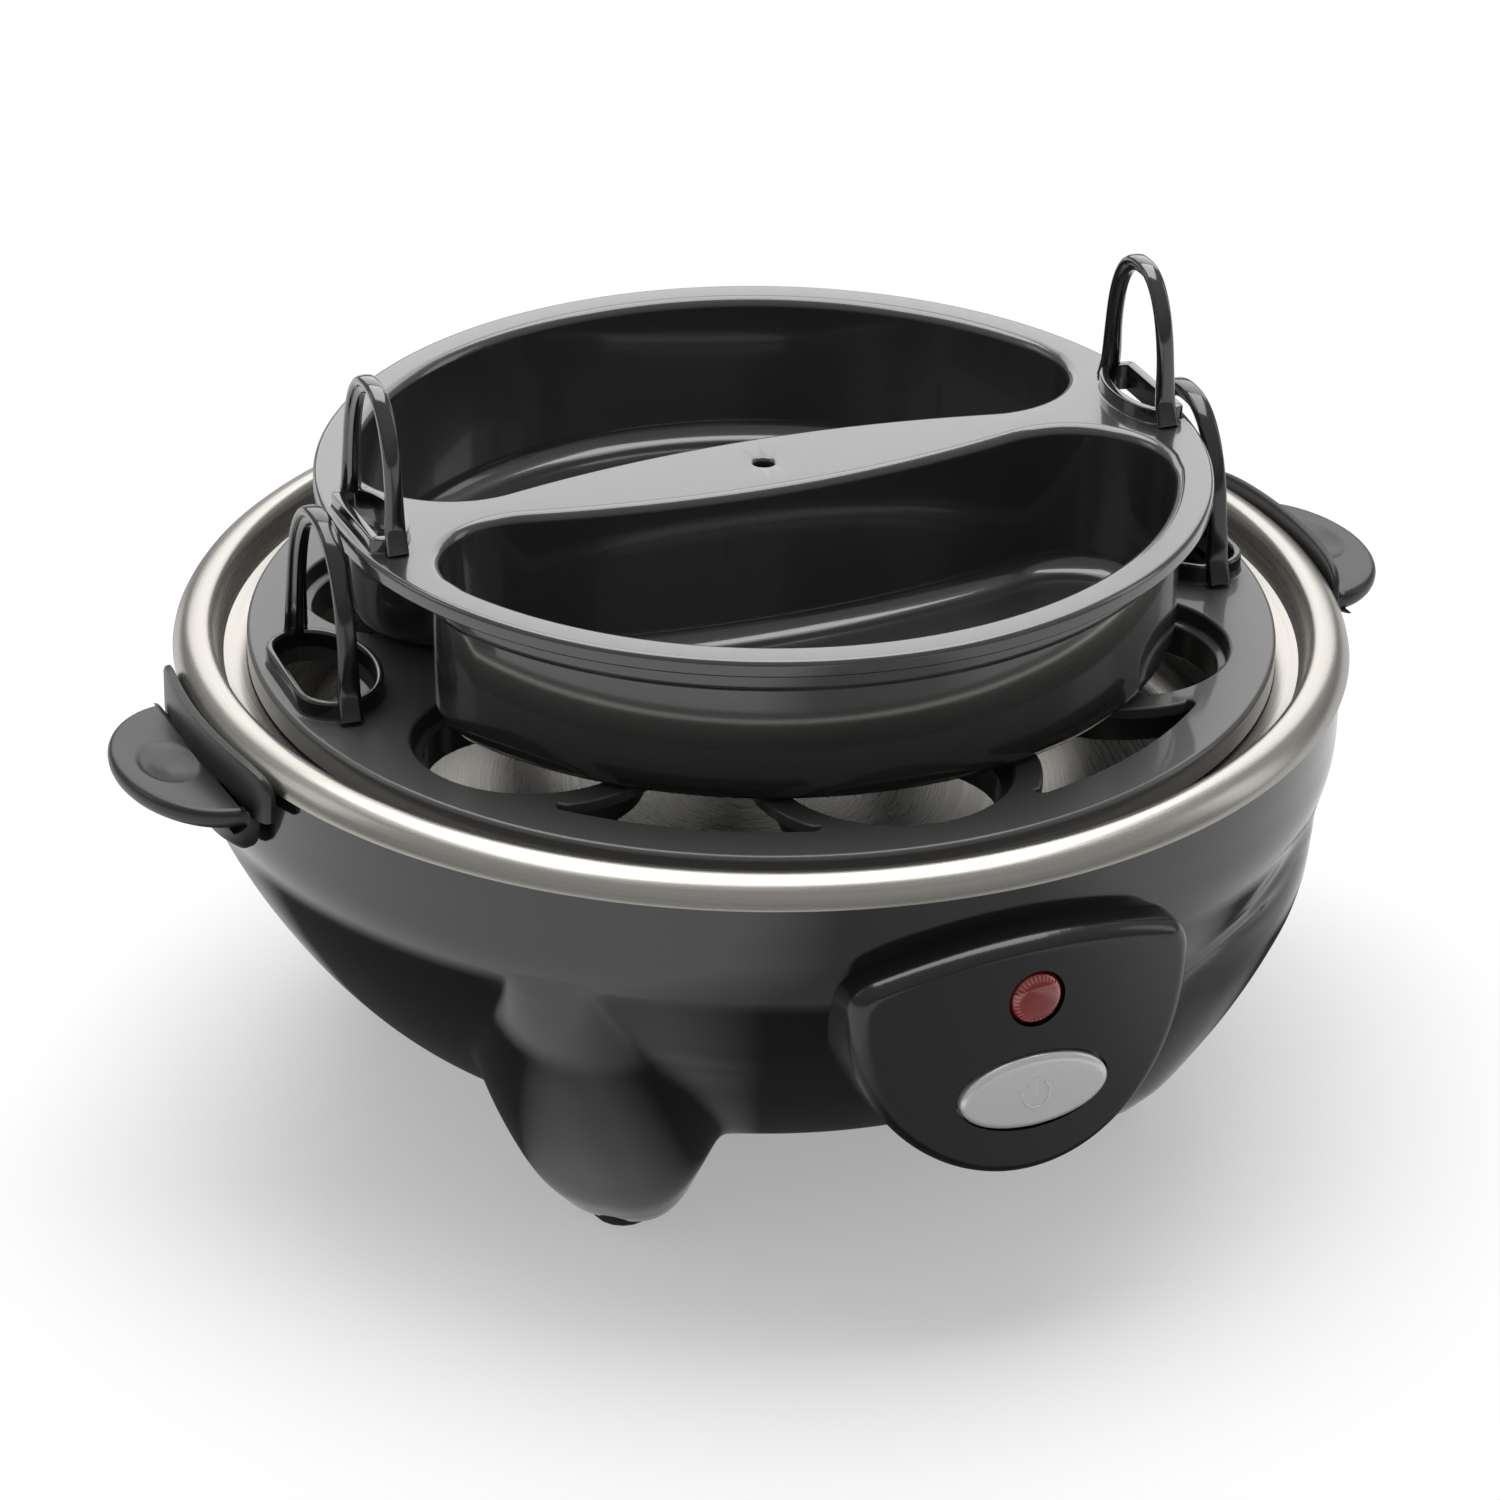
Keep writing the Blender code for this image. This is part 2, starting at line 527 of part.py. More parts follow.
def button_shape():
    work = bmesh.new()
    steps = [(-1.6, BUTTON_OUT), (-0.5, BUTTON_OUT - 0.35), (0.0, BUTTON_OUT - 1.1), (0.0, PANEL_FACE - 2.8),
             (1.4, PANEL_FACE - 2.8), (1.4, PANEL_FACE - 4.0)]
    outlines = [(oval(BUTTON_HALF_WIDTH + grow, BUTTON_HALF_HEIGHT + grow, 0.0), depth)
                for grow, depth in steps]
    outlines += [(circle(2.2, 28), PANEL_FACE - 4.0), (circle(2.2, 28), PANEL_FACE - 10.0)]
    rings = [[work.verts.new((x * MM, (PANEL_FACE - depth) * MM, z * MM)) for x, z in outline]
             for outline, depth in outlines]
    wall(work, rings)
    work.faces.new(rings[0])
    work.faces.new(rings[-1])
    return work


power_button = shape("power_button", button_shape(), SILVER)
power_button.location = Vector((0, -PANEL_FACE, BUTTON_HEIGHT)) * MM

# Push switch: a nylon block behind the button, with the well that the stem slides in
SWITCH_FRONT = PANEL_FACE - 8.4
switch_block = panel_prism([(-9, 34.7), (9, 34.7), (9, 48.7), (-9, 48.7)], SWITCH_FRONT, SWITCH_FRONT - 13.0)
switch_body = shape("switch_body", switch_block, NYLON)
stem_room = panel_prism(circle(2.6, 16, (0, BUTTON_HEIGHT)), 100.0, 82.5)
switch_bore = as_cutter(shape("switch_bore", stem_room, NYLON))
boolean(switch_body, switch_bore, "DIFFERENCE")

# Return spring: a coil round the button's stem, between the button and the switch
SPRING_TURNS = 3
SPRING_WIRE = 0.3
SPRING_RADIUS = 3.2
SPRING_FRONT = PANEL_FACE - 4.0 - SPRING_WIRE - GAP
SPRING_BACK = SWITCH_FRONT + SPRING_WIRE + GAP


def spring_route():
    count = SPRING_TURNS * 10
    route = []
    for i in range(count + 1):
        turn = 2 * math.pi * i / 10
        depth = SPRING_BACK + (SPRING_FRONT - SPRING_BACK) * i / count
        route.append((SPRING_RADIUS * math.cos(turn), -depth, BUTTON_HEIGHT + SPRING_RADIUS * math.sin(turn)))
    return route


tube("button_spring", spring_route(), SPRING_WIRE, STEEL, 1)


# Side handles: a flat thumb tab, a curved guard against the hot rim and a root screwed to the bowl
def tapered_bar(profile, anchor, half_angle, columns, end_share):
    """A profile of (radius, height) bent about Z, which shrinks to its anchor towards both ends."""
    work = bmesh.new()
    rings = []
    for i in range(columns + 1):
        along = 2.0 * i / columns - 1.0
        share = end_share + (1.0 - end_share) * math.sqrt(1.0 - along ** 2)
        drawn_in = [(anchor[0] + (radius - anchor[0]) * share, anchor[1] + (height - anchor[1]) * share)
                    for radius, height in profile]
        rings.append([work.verts.new(Vector(polar(radius, along * half_angle, height)) * MM)
                      for radius, height in drawn_in])
    wall(work, rings)
    work.faces.new(rings[0])
    work.faces.new(rings[-1])
    return work


def handle_pieces(side):
    turn = about_z(side)
    inner = GUARD_RADIUS + GAP
    outline = [(inner + (HANDLE_REACH - inner) * math.cos(a), HANDLE_HALF_WIDTH * math.sin(a))
               for a in [math.radians(-90 + 180.0 * i / 18) for i in range(19)]]
    work = bmesh.new()
    rings = []
    for grow, height in ((-1.2, 64.8), (0.0, 66.0), (0.0, 68.0), (-0.8, HANDLE_TOP)):
        rings.append(loop_at(work, offset(outline, grow), height)[0])
    wall(work, rings)
    work.faces.new(rings[0])
    work.faces.new(rings[-1])
    outside = GUARD_RADIUS + 2.0
    guard_profile = [(GUARD_RADIUS, 65.6), (outside, 65.6), (outside, GUARD_TOP - 0.5),
                     (outside - 0.5, GUARD_TOP), (GUARD_RADIUS, GUARD_TOP)]
    guard = tapered_bar(guard_profile, (GUARD_RADIUS, 65.6), 16.0, 14, 0.3)
    root_profile = [(90.2, 67.0), (89.9, 60.5), (90.6, 58.4), (92.6, 59.8), (95.0, 63.0), (96.4, 67.0)]
    root = tapered_bar(root_profile, (90.9, 67.0), 10.5, 8, 0.35)
    return [moved(piece, turn=turn) for piece in (work, guard, root)]


for name, side in (("side_handle_right", 0.0), ("side_handle_left", 180.0)):
    tab_work, guard_work, root_work = handle_pieces(side)
    handle = shape(name, tab_work, SATIN_BLACK)
    for label, piece in (("guard", guard_work), ("root", root_work)):
        boolean(handle, as_cutter(shape(f"{name}_{label}", piece, SATIN_BLACK)), "UNION")
    dimple = bmesh.new()
    bmesh.ops.create_uvsphere(dimple, u_segments=18, v_segments=8, radius=MM)
    bmesh.ops.scale(dimple, vec=(5.6, 7.2, 1.6), verts=dimple.verts)
    hollows = [moved(moved(dimple, (97.6, 0, HANDLE_TOP + 0.4)), turn=about_z(side))]
    for angle in HANDLE_SCREW_ANGLES:
        hole = moved(cylinder(1.5, 80.0, 93.0, 12), turn=TO_THE_RIGHT)
        hollows.append(moved(hole, (0, 0, HANDLE_SCREW_HEIGHT), about_z(side + angle)))
    boolean(handle, as_cutter(shape(f"{name}_hollows", joined(*hollows), SATIN_BLACK)), "DIFFERENCE")
    for index, angle in enumerate(HANDLE_SCREW_ANGLES):
        inward = Matrix.Rotation(math.radians(90), 3, "Y")
        label = f"{name.replace('side_', '')}_screw_{index + 1}"
        fixing = screw(label, 2.8, 1.5, 1.2, 7.0, (84.9, 0, HANDLE_SCREW_HEIGHT), inward)
        fixing.matrix_world = about_z(side + angle).to_4x4()


# Egg tray: one black moulding with seven stepped egg cups, steam slots, and two lifting loops
EGG_RING_TOP = EGG_TRAY_TOP + 3.2
EGG_LOOP_TOP = 102.8
CUP_SEGMENTS = 18
SLOT_OUTER = 71.0
SLOT_LAND = 4.4               # width of the land between a steam slot and the cup beside it


def steam_slot():
    """Outline of the slot between two cups, its wide side towards the rim; drawn on the +X side."""
    cup_x = EGG_HOLE_CIRCLE * math.cos(math.radians(30))
    cup_y = EGG_HOLE_CIRCLE * math.sin(math.radians(30))
    reach = EGG_HOLE_RADIUS + SLOT_LAND
    upper = arc(reach, -25, -82, 5, (cup_x, cup_y))
    inner = arc(5.4, 120, 240, 3, (47.6, 0))
    lower = [(x, -y) for x, y in reversed(upper)]
    tip_low = arc(1.4, -110, -10, 2, (67.3, -17.9))
    outer = arc(SLOT_OUTER, -13.2, 13.2, 4)
    tip_high = [(x, -y) for x, y in reversed(tip_low)]
    return lower + tip_low + outer + tip_high + upper + inner


def lifting_ring(outer, inner, half_width, flat_half):
    """Outline of the D-shaped collar: a straight side towards the rim, round towards the middle."""
    centre = outer - 0.42 * (outer - inner)
    flat = [(outer, -flat_half), (outer, -flat_half / 3), (outer, flat_half / 3), (outer, flat_half)]
    depth = centre - inner
    curve = [(centre - depth * math.sin(a), half_width * math.cos(a))
             for a in [math.radians(180.0 * i / 12) for i in range(13)]]
    return flat + curve


def lifting_loop(plane, foot, top, half_width, width, thickness):
    """Outline of an arched loop in (y, height), extruded across its width at the given distance."""
    height = top - foot

    def arch(half, rise, count, flare):
        points = []
        for i in range(count + 1):
            a = math.pi * i / count
            up = math.sin(a) ** 0.72 * rise
            lean = flare * max(0.0, 1.0 - up / 4.5)
            points.append((math.copysign(abs(math.cos(a)) ** 0.86 * half + lean, math.cos(a)), foot + up))
        return points

    outside = arch(half_width, height, 14, 1.2)
    inside = arch(half_width - thickness, height - thickness, 14, -1.8)
    work = prism(outside + list(reversed(inside)), plane - width / 2, plane + width / 2)
    return moved(work, turn=Matrix(((0, 0, 1), (1, 0, 0), (0, 1, 0))))


def egg_cups():
    ring = [polar(EGG_HOLE_CIRCLE, 30.0 + 60.0 * i) for i in range(6)]
    return [(0.0, 0.0)] + [(x, y) for x, y, _ in ring]


def build_egg_tray():
    plate_low = EGG_TRAY_TOP - EGG_TRAY_PLATE
    skirt_low = LEDGE_HEIGHT + GAP
    work = bmesh.new()
    top_loops, low_loops = [], []
    rim = [(EGG_TRAY_RADIUS - 0.5, EGG_TRAY_TOP), (EGG_TRAY_RADIUS, EGG_TRAY_TOP - 0.6),
           (EGG_TRAY_RADIUS, skirt_low), (EGG_TRAY_RADIUS - 1.6, skirt_low),
           (EGG_TRAY_RADIUS - 1.7, plate_low)]
    loops = [loop_at(work, circle(radius, 56), height) for radius, height in rim]
    wall(work, [points for points, _ in loops])
    top_loops.append(loops[0][1])
    low_loops.append(loops[-1][1])
    cup = [(0.0, 0.0), (-0.2, -2.4), (-1.6, -2.6), (-1.9, -8.0), (-0.4, -8.0), (1.2, -EGG_TRAY_PLATE)]
    for centre in egg_cups():
        loops = [loop_at(work, circle(EGG_HOLE_RADIUS + out, CUP_SEGMENTS, centre), EGG_TRAY_TOP + down)
                 for out, down in cup]
        wall(work, [points for points, _ in loops])
        top_loops.append(loops[0][1])
        low_loops.append(loops[-1][1])
    for angle in (60.0, 120.0, 240.0, 300.0):
        outline = spun(steam_slot(), angle)
        loops = [loop_at(work, outline, EGG_TRAY_TOP), loop_at(work, outline, plate_low)]
        wall(work, [points for points, _ in loops])
        top_loops.append(loops[0][1])
        low_loops.append(loops[-1][1])
    for angle in (0.0, 180.0):
        outline = spun(lifting_ring(77.2, 62.6, 13.6, 11.5), angle)
        steps = [(0.0, EGG_TRAY_TOP), (0.0, EGG_RING_TOP - 0.3), (-0.3, EGG_RING_TOP), (-1.8, EGG_RING_TOP),
                 (-1.9, plate_low)]
        loops = [loop_at(work, offset(outline, grow), height) for grow, height in steps]
        wall(work, [points for points, _ in loops])
        top_loops.append(loops[0][1])
        low_loops.append(loops[-1][1])
    fill(work, top_loops)
    fill(work, low_loops)
    return moved(work, turn=about_z(EGG_TRAY_TURN))


egg_tray = shape("egg_tray", build_egg_tray(), SATIN_BLACK)
for index, angle in enumerate((0.0, 180.0)):
    loop = lifting_loop(70.6, EGG_RING_TOP - 2.6, EGG_LOOP_TOP, 14.2, 4.2, 3.0)
    loop = moved(loop, turn=about_z(angle + EGG_TRAY_TURN))
    boolean(egg_tray, as_cutter(shape(f"egg_loop_{index + 1}", loop, SATIN_BLACK)), "UNION")

# Poaching tray: one black moulding with two kidney-shaped wells, a lipped rim and two lifting loops
WELL_CORNER = 15.0
WELL_CORNER_PLACE = (43.5, 19.2)
LAND_HALF = 9.3               # half the width of the land between the wells, at its middle
POACH_RING_TOP = POACH_TOP + 2.4
POACH_LOOP_TOP = 124.2
WELL_LOW = EGG_TRAY_TOP + GAP


def well_outline():
    """One well, on the +Y side: the rim's arc, two round corners and the land's long curve."""
    corner_x, corner_y = WELL_CORNER_PLACE
    outer = arc(WELL_RADIUS, 23.8, 156.2, 14)
    left = arc(WELL_CORNER, 176, 283, 5, (-corner_x, corner_y))
    right = arc(WELL_CORNER, -103, 4, 5, (corner_x, corner_y))
    land = [(x, LAND_HALF - 4.72 * (x / 40.1) ** 2) for x in (-26.0, -13.0, 0.0, 13.0, 26.0)]
    return outer + left + land + right


def build_poaching_tray():
    plate_low = POACH_TOP - POACH_WALL
    work = bmesh.new()
    top_loops, low_loops = [], []
    rim = [(POACH_RADIUS - 0.6, POACH_TOP), (POACH_RADIUS, POACH_TOP - 0.6), (POACH_RADIUS, POACH_TOP - 2.6),
           (POACH_RADIUS - 1.4, POACH_TOP - 2.6), (POACH_RADIUS - 1.5, plate_low)]
    loops = [loop_at(work, circle(radius, 56), height) for radius, height in rim]
    wall(work, [points for points, _ in loops])
    top_loops.append(loops[0][1])
    low_loops.append(loops[-1][1])
    inner_steps = [(1.2, 0.0), (-0.2, -0.6), (-0.5, -2.6), (-0.9, -21.0), (-1.9, -23.0), (-4.2, -23.9)]
    outer_steps = [(1.9, -POACH_WALL), (1.9, -6.4), (1.5, -7.0), (1.1, -22.8), (0.4, -24.6),
                   (-1.2, WELL_LOW - POACH_TOP)]
    for angle in (0.0, 180.0):
        outline = spun(well_outline(), angle)
        inner = [loop_at(work, offset(outline, grow), POACH_TOP + down) for grow, down in inner_steps]
        outer = [loop_at(work, offset(outline, grow), POACH_TOP + down) for grow, down in outer_steps]
        wall(work, [points for points, _ in inner])
        wall(work, [points for points, _ in outer])
        top_loops.append(inner[0][1])
        low_loops.append(outer[0][1])
        fill(work, [inner[-1][1]])
        fill(work, [outer[-1][1]])
    for angle in (0.0, 180.0):
        outline = spun(lifting_ring(66.6, 58.4, 9.8, 8.4), angle)
        steps = [(0.0, POACH_TOP), (0.0, POACH_RING_TOP - 0.3), (-0.3, POACH_RING_TOP),
                 (-1.5, POACH_RING_TOP), (-1.6, plate_low)]
        loops = [loop_at(work, offset(outline, grow), height) for grow, height in steps]
        wall(work, [points for points, _ in loops])
        top_loops.append(loops[0][1])
        low_loops.append(loops[-1][1])
    vent_steps = [(1.8, POACH_TOP), (1.4, POACH_TOP - 0.5), (1.4, plate_low)]
    vent = [loop_at(work, circle(radius, 12), height) for radius, height in vent_steps]
    wall(work, [points for points, _ in vent])
    top_loops.append(vent[0][1])
    low_loops.append(vent[-1][1])
    fill(work, top_loops)
    fill(work, low_loops)
    return moved(work, turn=about_z(POACH_TURN))


poaching_tray = shape("poaching_tray", build_poaching_tray(), SATIN_BLACK)
for index, angle in enumerate((0.0, 180.0)):
    loop = lifting_loop(63.0, POACH_RING_TOP - 2.0, POACH_LOOP_TOP, 10.4, 3.8, 2.6)
    loop = moved(loop, turn=about_z(angle + POACH_TURN))
    boolean(poaching_tray, as_cutter(shape(f"poach_loop_{index + 1}", loop, SATIN_BLACK)), "UNION")

# Cord gland: a flanged bush through the rear wall, open for the mains lead
flange = GLAND_FACE + GAP
gland_profile = [(GLAND_BORE, 67.4), (GLAND_BORE, GLAND_REACH), (4.4, GLAND_REACH), (5.6, flange + 2.4),
                 (7.6, flange + 2.0), (8.4, flange + 1.2), (8.4, flange), (GLAND_RADIUS, flange),
                 (GLAND_RADIUS, 67.4)]
shape("cord_gland", moved(turned(gland_profile, 16), (0, 0, GLAND_HEIGHT), TO_THE_REAR), NYLON)

# Terminal block: a ceramic block on the housing's floor, where the mains lead meets the inner leads
TERMINAL_WAYS = (-8.0, 0.0, 8.0)
TERMINAL_DEPTH = 60.7         # distance of the terminals behind the pan's axis
block = prism([(-13, 56.2), (13, 56.2), (13, 65.2), (-13, 65.2)], 24.8, 33.5)
terminal_block = shape("terminal_block", block, CERAMIC)
ways = [moved(cylinder(2.3, 28.0, 40.0, 12), (x, TERMINAL_DEPTH, 0)) for x in TERMINAL_WAYS]
boolean(terminal_block, as_cutter(shape("terminal_ways", joined(*ways), CERAMIC)), "DIFFERENCE")
for index, x in enumerate(TERMINAL_WAYS):
    screw(f"terminal_screw_{index + 1}", 1.9, 1.2, 1.0, 2.6, (x, TERMINAL_DEPTH, 31.2), UPSIDE_DOWN)

# Inner leads: stiff insulated wires between the terminal block, the switch, the lamp and the heater
leads = {
    "lead_live": [(-8, 55.8, 30), (-9, 50, 29), (-30, 44, 25), (-46, 14, 25), (-42, -30, 27), (-20, -58, 33),
                  (-4.5, -68.5, 38)],
    "lead_switched": [(4.5, -68.5, 38), (14, -60, 33), (22, -38, 25), (20, -8, 24), (17, 12, 24)],
    "lead_neutral": [(0, 55.8, 30), (0, 50, 28.5), (-4, 44, 25), (-9, 34, 24)],
}
for name, stops in leads.items():
    tube(name, smooth_route(stops), 1.1, SLEEVE, 1)
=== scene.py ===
"""Looks of a tabletop egg boiler: glossy black base, spun steel pan, egg tray and poaching tray.

Pieces are modelled in millimetres and scaled to metres when they are finished. The front with the
control panel faces -Y, the side handles lie along X, and the pan's axis is the Z axis.
"""

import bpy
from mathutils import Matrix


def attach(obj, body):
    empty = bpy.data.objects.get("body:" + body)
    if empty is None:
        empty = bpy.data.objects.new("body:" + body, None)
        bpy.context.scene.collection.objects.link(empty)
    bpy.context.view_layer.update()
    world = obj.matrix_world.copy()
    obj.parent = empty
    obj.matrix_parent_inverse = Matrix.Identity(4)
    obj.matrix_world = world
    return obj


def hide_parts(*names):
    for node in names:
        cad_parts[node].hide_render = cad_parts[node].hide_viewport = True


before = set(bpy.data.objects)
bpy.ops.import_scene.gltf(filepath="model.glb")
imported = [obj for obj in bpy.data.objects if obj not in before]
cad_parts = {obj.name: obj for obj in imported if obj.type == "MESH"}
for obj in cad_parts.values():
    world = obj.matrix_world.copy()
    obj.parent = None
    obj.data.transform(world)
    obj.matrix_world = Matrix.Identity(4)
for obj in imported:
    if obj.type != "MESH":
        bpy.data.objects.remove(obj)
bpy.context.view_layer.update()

import math

import bmesh
import bpy
from mathutils import Matrix, Vector

MM = 0.001

# Camera: the view of the photograph, a long lens a metre away, a little above the rim
CAMERA_LENS = 156.0
CAMERA_DISTANCE = 1.001
CAMERA_AIM = Vector((-0.0049, -0.0070, 0.0553))
CAMERA_AZIMUTH = -25.0
CAMERA_ELEVATION = 27.25
CAMERA_ROLL = 0.78

camera_data = bpy.data.cameras.new("photo_camera")
camera_data.lens = CAMERA_LENS
camera_data.sensor_width = 36.0
camera_data.clip_end = 50.0
camera = bpy.data.objects.new("photo_camera", camera_data)
camera.matrix_world = (
    Matrix.Translation(CAMERA_AIM)
    @ Matrix.Rotation(math.radians(CAMERA_AZIMUTH), 4, "Z")
    @ Matrix.Rotation(math.radians(90.0 - CAMERA_ELEVATION), 4, "X")
    @ Matrix.Rotation(math.radians(CAMERA_ROLL), 4, "Z")
    @ Matrix.Translation((0.0, 0.0, CAMERA_DISTANCE))
)
bpy.context.scene.collection.objects.link(camera)
bpy.context.scene.camera = camera
bpy.context.scene.view_settings.view_transform = "Standard"


# Studio: a white floor that runs into a white surround, with one large soft lamp overhead, a bright
# panel low behind the object that its level faces mirror, and softer ones at the left and right.
bmesh_floor = bmesh.new()
bmesh.ops.create_circle(bmesh_floor, cap_ends=True, segments=96, radius=4.0)
floor_mesh = bpy.data.meshes.new("studio_floor")
bmesh_floor.to_mesh(floor_mesh)
bmesh_floor.free()
studio_floor = bpy.data.objects.new("studio_floor", floor_mesh)
bpy.context.scene.collection.objects.link(studio_floor)


def put(node, values):
    """Sets the constants of a node's input sockets."""
    for socket, value in values.items():
        node.inputs[socket].default_value = value


def node_of(tree, kind, values=None, **settings):
    """A new shader node of a kind, with its settings and the constants of its sockets."""
    made = tree.nodes.new("ShaderNode" + kind)
    for name, value in settings.items():
        setattr(made, name, value)
    put(made, values or {})
    return made


def range_of(tree, low, high, to_low=0.0, to_high=1.0):
    """A node that maps one range of values onto another."""
    return node_of(tree, "MapRange", {"From Min": low, "From Max": high, "To Min": to_low,
                                      "To Max": to_high})


def math_of(tree, operation, second=None):
    """A node that works a value out of others, of which the second can be a constant."""
    return node_of(tree, "Math", {} if second is None else {1: second}, operation=operation)


def wire(tree, *links):
    """Links sockets: every row says node, output, node, input."""
    for source, output, target, entry in links:
        tree.links.new(source.outputs[output], target.inputs[entry])


def ramp_of(tree, stops):
    """A grey ramp through stops of (position, brightness)."""
    made = node_of(tree, "ValToRGB")
    ramp = made.color_ramp
    ramp.elements[0].position, ramp.elements[1].position = stops[0][0], stops[-1][0]
    for position, brightness in stops[1:-1]:
        ramp.elements.new(position)
    for element, (position, brightness) in zip(ramp.elements, stops):
        element.color = (brightness, brightness, brightness, 1.0)
    return made


floor_paint = bpy.data.materials.new("studio_floor_paint")
floor_paint.use_nodes = True
tree = floor_paint.node_tree
tree.nodes.clear()
output = node_of(tree, "OutputMaterial")
lit = node_of(tree, "BsdfDiffuse", {"Color": (0.86, 0.86, 0.86, 1.0)})
glow = node_of(tree, "Emission", {"Strength": 1.0})
place = node_of(tree, "TexCoord")
reach = node_of(tree, "VectorMath", operation="LENGTH")
# the floor keeps its shadow near the object and is plain white further out
white_share = ramp_of(tree, [(0.0, 0.34), (0.09, 0.40), (0.15, 0.66), (0.24, 1.0)])
rays = node_of(tree, "LightPath")
share = math_of(tree, "MULTIPLY")
blend_floor = node_of(tree, "MixShader")
# painted reflection: for rays that the object mirrors, the floor is a glowing pattern, white at the left,
# grey in front, paler at the right, with painted shade right under the bowl between the legs
painted_reflection = node_of(tree, "Emission")
parts = node_of(tree, "SeparateXYZ")
around = math_of(tree, "ARCTAN2")
four_legs = math_of(tree, "MULTIPLY", 4.0)
leg_wave = math_of(tree, "COSINE")
# painted shade under the bowl: darkest between the legs, a little lighter towards them
painted_shade_under_bowl = range_of(tree, -0.1, -0.9, 0.05, 0.38)
beyond = ramp_of(tree, [(0.0, 0.0), (0.106, 0.0), (0.117, 1.0), (1.0, 1.0)])
far_tone = ramp_of(tree, [(0.0, 0.90), (0.12, 0.95), (0.22, 1.0), (0.4, 1.0)])
sideways = range_of(tree, -0.4, 0.4)
side_tone = ramp_of(tree, [(0.0, 1.0), (0.38, 1.0), (0.445, 0.34), (0.58, 0.42), (0.64, 0.80), (1.0, 0.80)])
outer_tone = math_of(tree, "MULTIPLY")
painted_reflection_tone = node_of(tree, "Mix", data_type="FLOAT")
painted_reflection_blend = node_of(tree, "MixShader")
wire(
    tree, (place, "Object", parts, "Vector"), (parts, "Y", around, 0), (parts, "X", around, 1),
    (around, "Value", four_legs, 0), (four_legs, "Value", leg_wave, 0),
    (leg_wave, "Value", painted_shade_under_bowl, "Value"), (parts, "X", sideways, "Value"),
    (sideways, "Result", side_tone, "Fac"), (reach, "Value", far_tone, "Fac"),
    (reach, "Value", beyond, "Fac"), (far_tone, "Color", outer_tone, 0),
    (side_tone, "Color", outer_tone, 1), (beyond, "Color", painted_reflection_tone, "Factor"),
    (painted_shade_under_bowl, "Result", painted_reflection_tone, "A"), (outer_tone, "Value", painted_reflection_tone, "B"),
    (painted_reflection_tone, "Result", painted_reflection, "Color"), (rays, "Is Glossy Ray", painted_reflection_blend, "Fac"),
    (place, "Object", reach, 0), (reach, "Value", white_share, "Fac"), (white_share, "Color", share, 1),
    (rays, "Is Camera Ray", share, 0), (share, "Value", blend_floor, "Fac"), (lit, "BSDF", blend_floor, 1),
    (glow, "Emission", blend_floor, 2), (blend_floor, "Shader", painted_reflection_blend, 1),
    (painted_reflection, "Emission", painted_reflection_blend, 2), (painted_reflection_blend, "Shader", output, "Surface"),
)
floor_mesh.materials.append(floor_paint)

SURROUND_LIGHT = 0.44
world = bpy.data.worlds.new("studio_surround")
bpy.context.scene.world = world
world.use_nodes = True
tree = world.node_tree
tree.nodes.clear()
output = node_of(tree, "OutputWorld")
seen = node_of(tree, "Background", {"Color": (1.0, 1.0, 1.0, 1.0), "Strength": 1.0})
lighting = node_of(tree, "Background", {"Strength": SURROUND_LIGHT})
direction = node_of(tree, "TexCoord")
parts = node_of(tree, "SeparateXYZ")
# the surround beyond the lit floor is darker close to the horizon
surround = ramp_of(tree, [(0.0, 0.45), (0.10, 0.55), (0.35, 0.90), (0.8, 1.0)])
rays = node_of(tree, "LightPath")
blend_world = node_of(tree, "MixShader")
wire(
    tree, (direction, "Generated", parts, "Vector"), (parts, "Z", surround, "Fac"),
    (surround, "Color", lighting, "Color"), (rays, "Is Camera Ray", blend_world, "Fac"),
    (lighting, "Background", blend_world, 1), (seen, "Background", blend_world, 2),
    (blend_world, "Shader", output, "Surface"),
)


def softbox(name, azimuth, elevation, distance, size, brightness):
    """A lamp panel that faces the object from a direction, as bright as its share of white."""
    data = bpy.data.lights.new(name, "AREA")
    data.shape = "RECTANGLE"
    data.size, data.size_y = size
    data.energy = brightness * math.pi * size[0] * size[1]
    lamp = bpy.data.objects.new(name, data)
    a, e = math.radians(azimuth), math.radians(elevation)
    place = Vector((math.cos(a) * math.cos(e), math.sin(a) * math.cos(e), math.sin(e))) * distance
    lamp.matrix_world = Matrix.Translation(place) @ (-place).to_track_quat("-Z", "Y").to_matrix().to_4x4()
    bpy.context.scene.collection.objects.link(lamp)


softbox("back_panel", azimuth=65.0, elevation=33.0, distance=1.5, size=(1.9, 0.9),
        brightness=1.6)
softbox("overhead_softbox", azimuth=75.0, elevation=76.0, distance=1.2, size=(1.2, 1.0),
        brightness=3.9)
softbox("left_softbox", azimuth=150.0, elevation=30.0, distance=1.3, size=(0.4, 0.5),
        brightness=0.9)
softbox("right_softbox", azimuth=-12.0, elevation=22.0, distance=1.3, size=(0.35, 0.7),
        brightness=1.0)


# Base housing: a glossy black polypropylene bowl with four hollow legs, moulded in one piece. Each leg
# is a blunt cone that grows out of the bowl under an arched crease. On its side towards the panel the
# arch runs on as a swept fold with a groove and a shallow scoop below it.
BOWL_RADIUS = 93.5
BOWL_CENTRE = 86.7
HOUSING_COLUMNS = 640
# rows of the outline as shares of its length from the rim, closest together round crease and fold
row_places = [0.2 * i / 14 for i in range(14)] + [0.2 + 0.42 * i / 74 for i in range(74)]
row_places += [0.62 + 0.38 * i / 30 for i in range(31)]
HOUSING_ROWS = len(row_places) - 1
LEG_STEP = 90.0
LEG_COLUMN_CROWDING = 0.45
